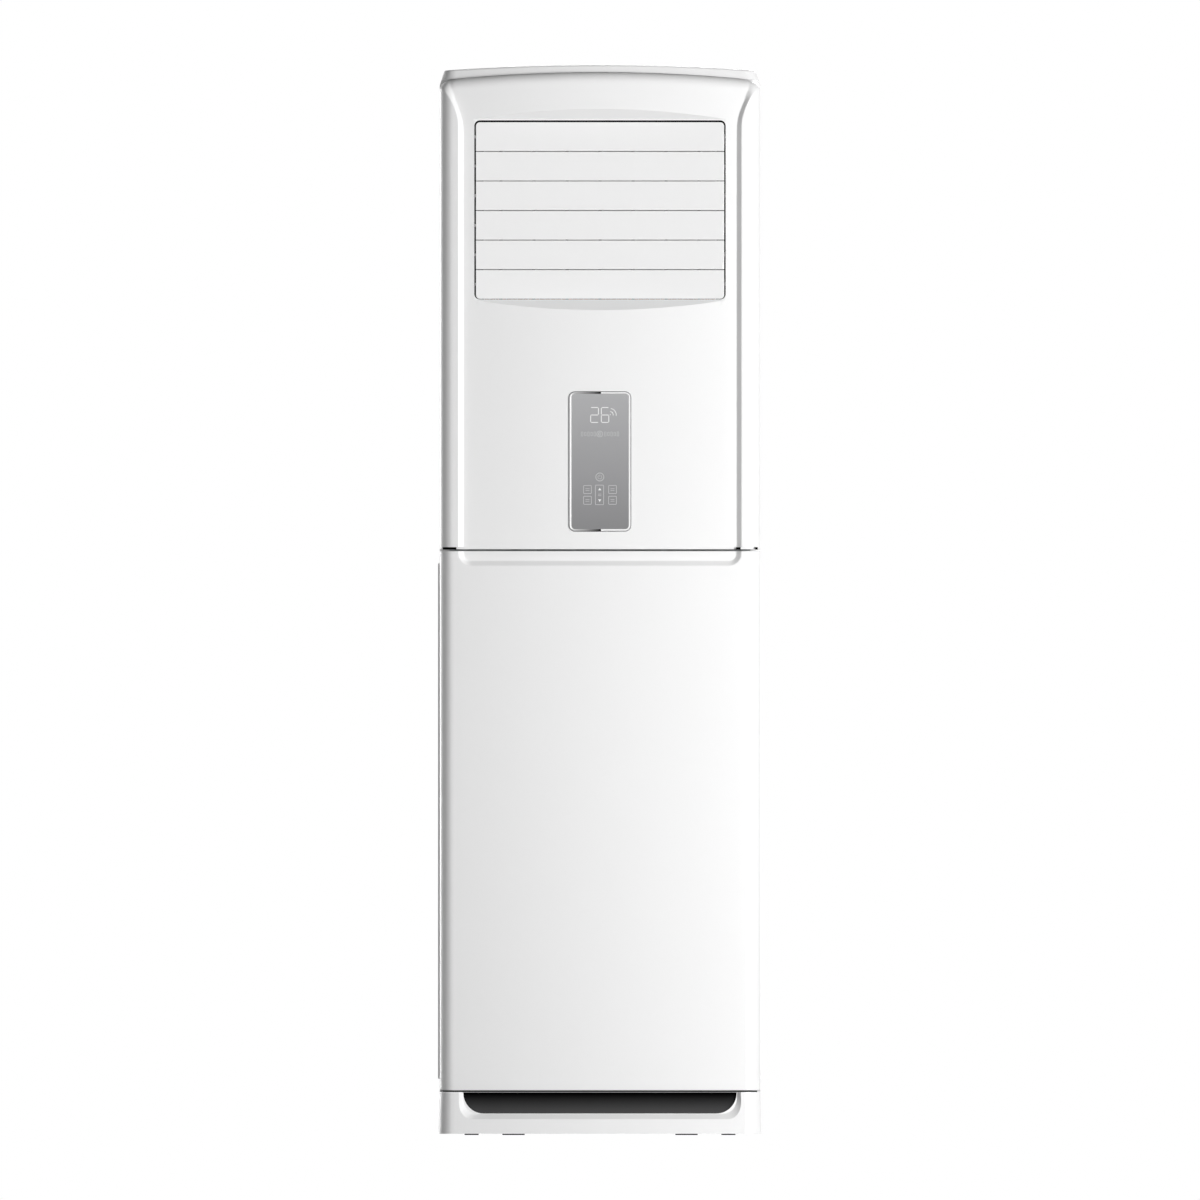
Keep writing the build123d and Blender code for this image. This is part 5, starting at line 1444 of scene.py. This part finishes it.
    def faint(self) -> List[Surface]:
        """Figures that show weakly.

        Returns:
            Indicator row, power ring and the keys with their marks.
        """
        figures = [self.arc(self.dial, radius, turn, self.fine * share)
                   for radius, turn, share in self.dial_arcs]
        for side in (-1, 1):
            for place in range(self.signs):
                spot = side * (self.sign_start + self.sign_pitch * place), self.dial[1]
                half = self.sign_half[0], self.sign_half[1] - self.sign_drop * (place % 2)
                figures.append(self.frame_line(
                    spot, half, self.sign_r, self.fine * self.sign_line))
        wide, small = self.power_radii
        x = self.power[0]
        figures += [self.arc(self.power, wide, self.dial_arcs[0][1], self.line * self.ring_line),
                    self.arc(self.power, small, self.power_gap, self.fine),
                    self.bar((x, self.power_bar[0]), (x, self.power_bar[1]))]
        for side in (-1, 1):
            for z in self.key_rows:
                x = side * self.key_x
                words = x - self.key_word, x + self.key_word
                rows = z + self.key_strokes[0], z + self.key_strokes[1]
                figures += self.pressed(Key(x, z, self.key_half, words, rows))
        return figures + self.pressed(self.rocker)

    def build(self) -> None:
        """Makes ring and print."""
        ring = self.swept(self.ring_inset, self.ring_rise).build(
            "display_ring", Slot.CHROME, RING, self.crease)
        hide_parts("display_bezel")
        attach(ring, CASING)
        lip = self.swept(self.lip_inset, self.lip_rise)
        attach(lip.build("display_lip", Slot.CHROME, SMOKED, self.crease), CASING)
        for name, figures, finish in (("display_figures", self.bright(), PRINT),
                                      ("display_keys", self.faint(), PALE_PRINT)):
            layer = inked(figures, self.glass_y - self.proud, self.print_t)
            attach(layer.build(name, Slot.SHELL, finish), CASING)


# ---- painted shade strips and intake ------------------------------------------------------
@dataclass(frozen=True)
class ShadeStrip:
    """Black strip along the bow: painted shade in a joint between two mouldings.

    Args:
        start: x of its left end.
        end: x of its right end.
        low: z of its lower edge.
        high: z of its upper edge.
        inset: how far its face lies behind the front.
        depth: from front to back.
        column: distance between its columns.
    """

    start: float
    end: float
    low: float
    high: float
    inset: float
    depth: float = 0.0015
    column: float = 0.001

    def body(self, bow: Bow) -> Surface:
        """Strip with face, back and edges.

        Args:
            bow: the front it follows.

        Returns:
            A rectangle carried along x at y = bow y(x, inset), closed at both ends.
        """
        x = stretch(self.start, self.end, self.column)
        inset = np.array([0.0, 0.0, self.depth, self.depth])[:, None] + self.inset
        z = np.array([self.low, self.high, self.high, self.low])[:, None]
        points = np.stack([x + 0 * z, bow.around_y(x + 0 * z, inset + 0 * x), z + 0 * x], axis=-1)
        tube = Surface.grid(points, wrap_rows=True)
        count = len(x)
        corner = np.arange(4) * count
        ends = np.stack([corner, corner[::-1] + count - 1])
        return Surface(tube.points, np.vstack([tube.faces, ends]))


@dataclass
class ShadeStrips:
    """Painted shade: black strip over the plinth and black feet of the two pillars, which under the
    left pillar and at the right rim also stand for a dark reflection.
    """

    strips: Tuple[ShadeStrip, ...] = (
        ShadeStrip(-0.2570, 0.2570, 0.0703, 0.0727, 0.0020),
        ShadeStrip(-0.2572, -0.2350, 0.9574, 0.9613, 0.0020),
        ShadeStrip(0.2225, 0.2300, 0.9574, 0.9613, 0.0040),
        ShadeStrip(0.2540, 0.2580, 0.9574, 0.9613, 0.0020))
    # Flaps: black sheets of painted shade behind the gaps round the louvres.
    flap_x: float = 0.2015
    flap_low: float = 1.3660
    flap_high: float = 1.6600
    flap_side_w: float = 0.0220
    flap_top_w: float = 0.0080
    flap_y: float = -0.1086
    flap_depth: float = 0.0009

    def build(self) -> None:
        """All strips as one piece, with black flaps of painted shade behind the ends and the top of
        the louvres.
        """
        bodies = [strip.body(Bow()) for strip in self.strips]
        inner = self.flap_x - self.flap_side_w / 2
        top_z = self.flap_high - self.flap_top_w / 2
        flaps = [stroke(np.array([[x, self.flap_low], [x, self.flap_high]]), self.flap_side_w)
                 for x in (-self.flap_x, self.flap_x)]
        flaps.append(stroke(np.array([[-inner, top_z], [inner, top_z]]), self.flap_top_w))
        bodies += [inked([flap], self.flap_y, self.flap_depth) for flap in flaps]
        piece = Surface.join(bodies).build("joint_seals", Slot.DARK, PAINTED_SHADE)
        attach(piece, CASING)


@dataclass(frozen=True)
class PaintedShadeScreen(Finish):
    """Black dust screen with a fine weave; its black is partly painted shade of the intake, and its
    greying towards the foot is painted shade.
    """

    foot_z: float = 0.034
    head_z: float = 0.066
    pitch: float = 0.0016
    thread: float = 0.3
    weave: float = 0.12
    black: float = 0.0006

    def _color(self, tree: Tree) -> Wire:
        """Painted shade: greys from a black head to the foot, darker on the threads.

        Args:
            tree: the material's tree.

        Returns:
            A wire with the colour.
        """
        up = (tree.axis("Z") - self.foot_z) / (self.head_z - self.foot_z)
        across = (tree.axis("X") / self.pitch).part() < self.thread
        return tree.blend(up + self.weave * across, self.color, (self.black,) * 3)


SCREEN = PaintedShadeScreen("dust_screen", (0.075, 0.075, 0.076), 0.8, grain=0.0016,
                      bump=0.0001, mirror=0.03)


@dataclass
class IntakeScreen:
    """Dust screen behind the slot in the plinth, dark with painted shade."""

    half: float = 0.2385
    low: float = 0.0300
    high: float = 0.0695
    inset: float = 0.0115
    depth: float = 0.0008

    def build(self) -> None:
        """Bowed sheet just behind the plinth's front wall."""
        strip = ShadeStrip(-self.half, self.half, self.low, self.high, self.inset, self.depth)
        piece = strip.body(Bow()).build("intake_screen", Slot.DARK, SCREEN)
        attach(piece, CASING)


@dataclass
class FilterNets:
    """Fine netting stretched in the frames of the two side filters."""

    frame_w: float = 0.009
    thickness: float = 0.0003
    sunk: float = 0.0022
    column: float = 0.02
    row: float = 0.04

    def build(self) -> None:
        """One net on each side, in the middle of its frame."""
        low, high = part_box("air_filters")
        y = stretch(low.y + self.frame_w, high.y - self.frame_w, self.column)
        z = stretch(low.z + self.frame_w, high.z - self.frame_w, self.row)
        grid_y, grid_z = np.meshgrid(y, z)
        x = high.x - self.sunk
        skin = Surface.grid(np.stack([np.full_like(grid_y, x), grid_y, grid_z], axis=-1))
        inside = Surface(skin.points - (self.thickness, 0, 0), skin.faces)
        right = walled(skin, inside)
        net = Surface.join([right, right.mirrored()]).build("filter_nets", Slot.FILTER, NET)
        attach(net, CASING)


# ---- stage --------------------------------------------------------------------------------
@dataclass(frozen=True)
class Softbox:
    """Rectangular studio lamp.

    Args:
        name: its name.
        place: where it stands.
        size: width and height.
        power: in watts.
        aim: what it points at.
    """

    name: str
    place: Place
    size: Pair
    power: float
    aim: Place = (0.0, 0.0, 0.9)

    def build(self) -> None:
        """Makes the lamp and turns it to its aim."""
        light = bpy.data.lights.new(self.name, "AREA")
        light.shape = "RECTANGLE"
        light.size, light.size_y = self.size
        light.energy = self.power
        lamp = placed(self.name, light)
        lamp.location = self.place
        beam = Vector(self.aim) - Vector(self.place)
        lamp.rotation_euler = beam.to_track_quat("-Z", "Y").to_euler()
        LOG.info("lamp %s", self.name)


@dataclass(frozen=True)
class Studio:
    """Floor, background, lamps and camera."""

    frame_width: float = 1.9626
    eye: float = 0.875
    distance: float = 6.0
    ambient: float = 0.07
    floor_half: float = 6.0
    floor_z: float = -0.0006
    floor_rough: float = 0.6
    floor_greys: Pair = (0.9, 0.3)
    floor_glow: float = 0.6
    lamps: Tuple[Softbox, ...] = (
        Softbox("key_lamp", (6.1, -6.6, 1.2), (2.6, 2.6), 805.0),
        Softbox("fill_lamp", (-3.9, -4.6, 1.2), (2.0, 2.4), 50.0),
        Softbox("edge_lamp", (-4.2, 2.9, 1.1), (1.0, 2.4), 24.0),
        Softbox("side_lamp", (-3.4, 4.8, 1.1), (1.6, 2.4), 70.0),
        Softbox("back_lamp", (1.2, 6.0, 4.2), (3.0, 3.0), 330.0),
    )

    def _floor(self) -> None:
        """Pale floor that shows white to the camera but keeps the shadow."""
        edge = np.array([-self.floor_half, self.floor_half])
        x, y = np.meshgrid(edge, edge)
        sheet = Surface.grid(np.stack([x, y, np.full_like(x, self.floor_z)], axis=-1))
        mesh = bpy.data.meshes.new("floor")
        mesh.from_pydata(sheet.points, [], sheet.faces)
        floor = placed("floor", mesh)
        made = bpy.data.materials.new("pale_floor")
        tree = Tree(made)
        shown, felt = (tree.add("ShaderNodeBsdfPrincipled", inputs={
            "Base Color": (grey, grey, grey, 1.0), "Roughness": self.floor_rough})
            for grey in self.floor_greys)
        seen = tree.add("ShaderNodeLightPath", output="Is Camera Ray")
        glow = tree.add("ShaderNodeEmission", inputs={"Color": WHITE, "Strength": 1.0})
        lifted = tree.add("ShaderNodeMixShader", inputs={0: self.floor_glow, 1: shown, 2: glow})
        mixed = tree.add("ShaderNodeMixShader", inputs={0: seen, 1: felt, 2: lifted})
        tree.add("ShaderNodeOutputMaterial", inputs={"Surface": mixed})
        mesh.materials.append(made)

    def _world(self) -> None:
        """White where the camera or a mirror looks, soft grey as a light."""
        world = bpy.data.worlds.new("studio_world")
        bpy.context.scene.world = world
        tree = Tree(world)
        seen, glossy, through = (
            tree.add("ShaderNodeLightPath", output=f"Is {kind} Ray")
            for kind in ("Camera", "Glossy", "Transmission"))
        white = (seen + glossy + through) > HALF_WAY
        strength = self.ambient + (1.0 - self.ambient) * white
        background = tree.add(
            "ShaderNodeBackground", inputs={"Color": WHITE, "Strength": strength})
        tree.add("ShaderNodeOutputWorld", inputs={"Surface": background})

    def _camera(self) -> None:
        """Level parallel camera in front of the object, framed as the photograph."""
        data = bpy.data.cameras.new("camera")
        data.type = "ORTHO"
        data.ortho_scale = self.frame_width
        camera = placed("camera", data)
        camera.location = (0.0, -self.distance, self.eye)
        camera.rotation_euler = (math.pi / 2, 0.0, 0.0)
        bpy.context.scene.camera = camera

    def build(self) -> None:
        """Sets the stage."""
        bpy.context.scene.view_settings.view_transform = "Standard"
        self._floor()
        self._world()
        self._camera()
        for lamp in self.lamps:
            lamp.build()


def dress_nodes() -> None:
    """Gives every node of the frame the finish of its slot in the record."""
    for row in frame["record"]["subparts"]:
        finish = FINISHES[Slot(row["material_slot"])]
        mesh = frame["nodes"][row["node"]].data
        mesh.materials.clear()
        mesh.materials.append(finish.material())
        LOG.info("node %s: %s", row["node"], finish.name)


def main() -> None:
    """Builds the pieces in order."""
    logging.basicConfig(level=logging.INFO, format="%(message)s")
    dress_nodes()
    Studio().build()
    for part in (UpperPanel(), LowerPanel(), Display(), ShadeStrips(), IntakeScreen(), FilterNets()):
        part.build()


if __name__ == "__main__":
    main()
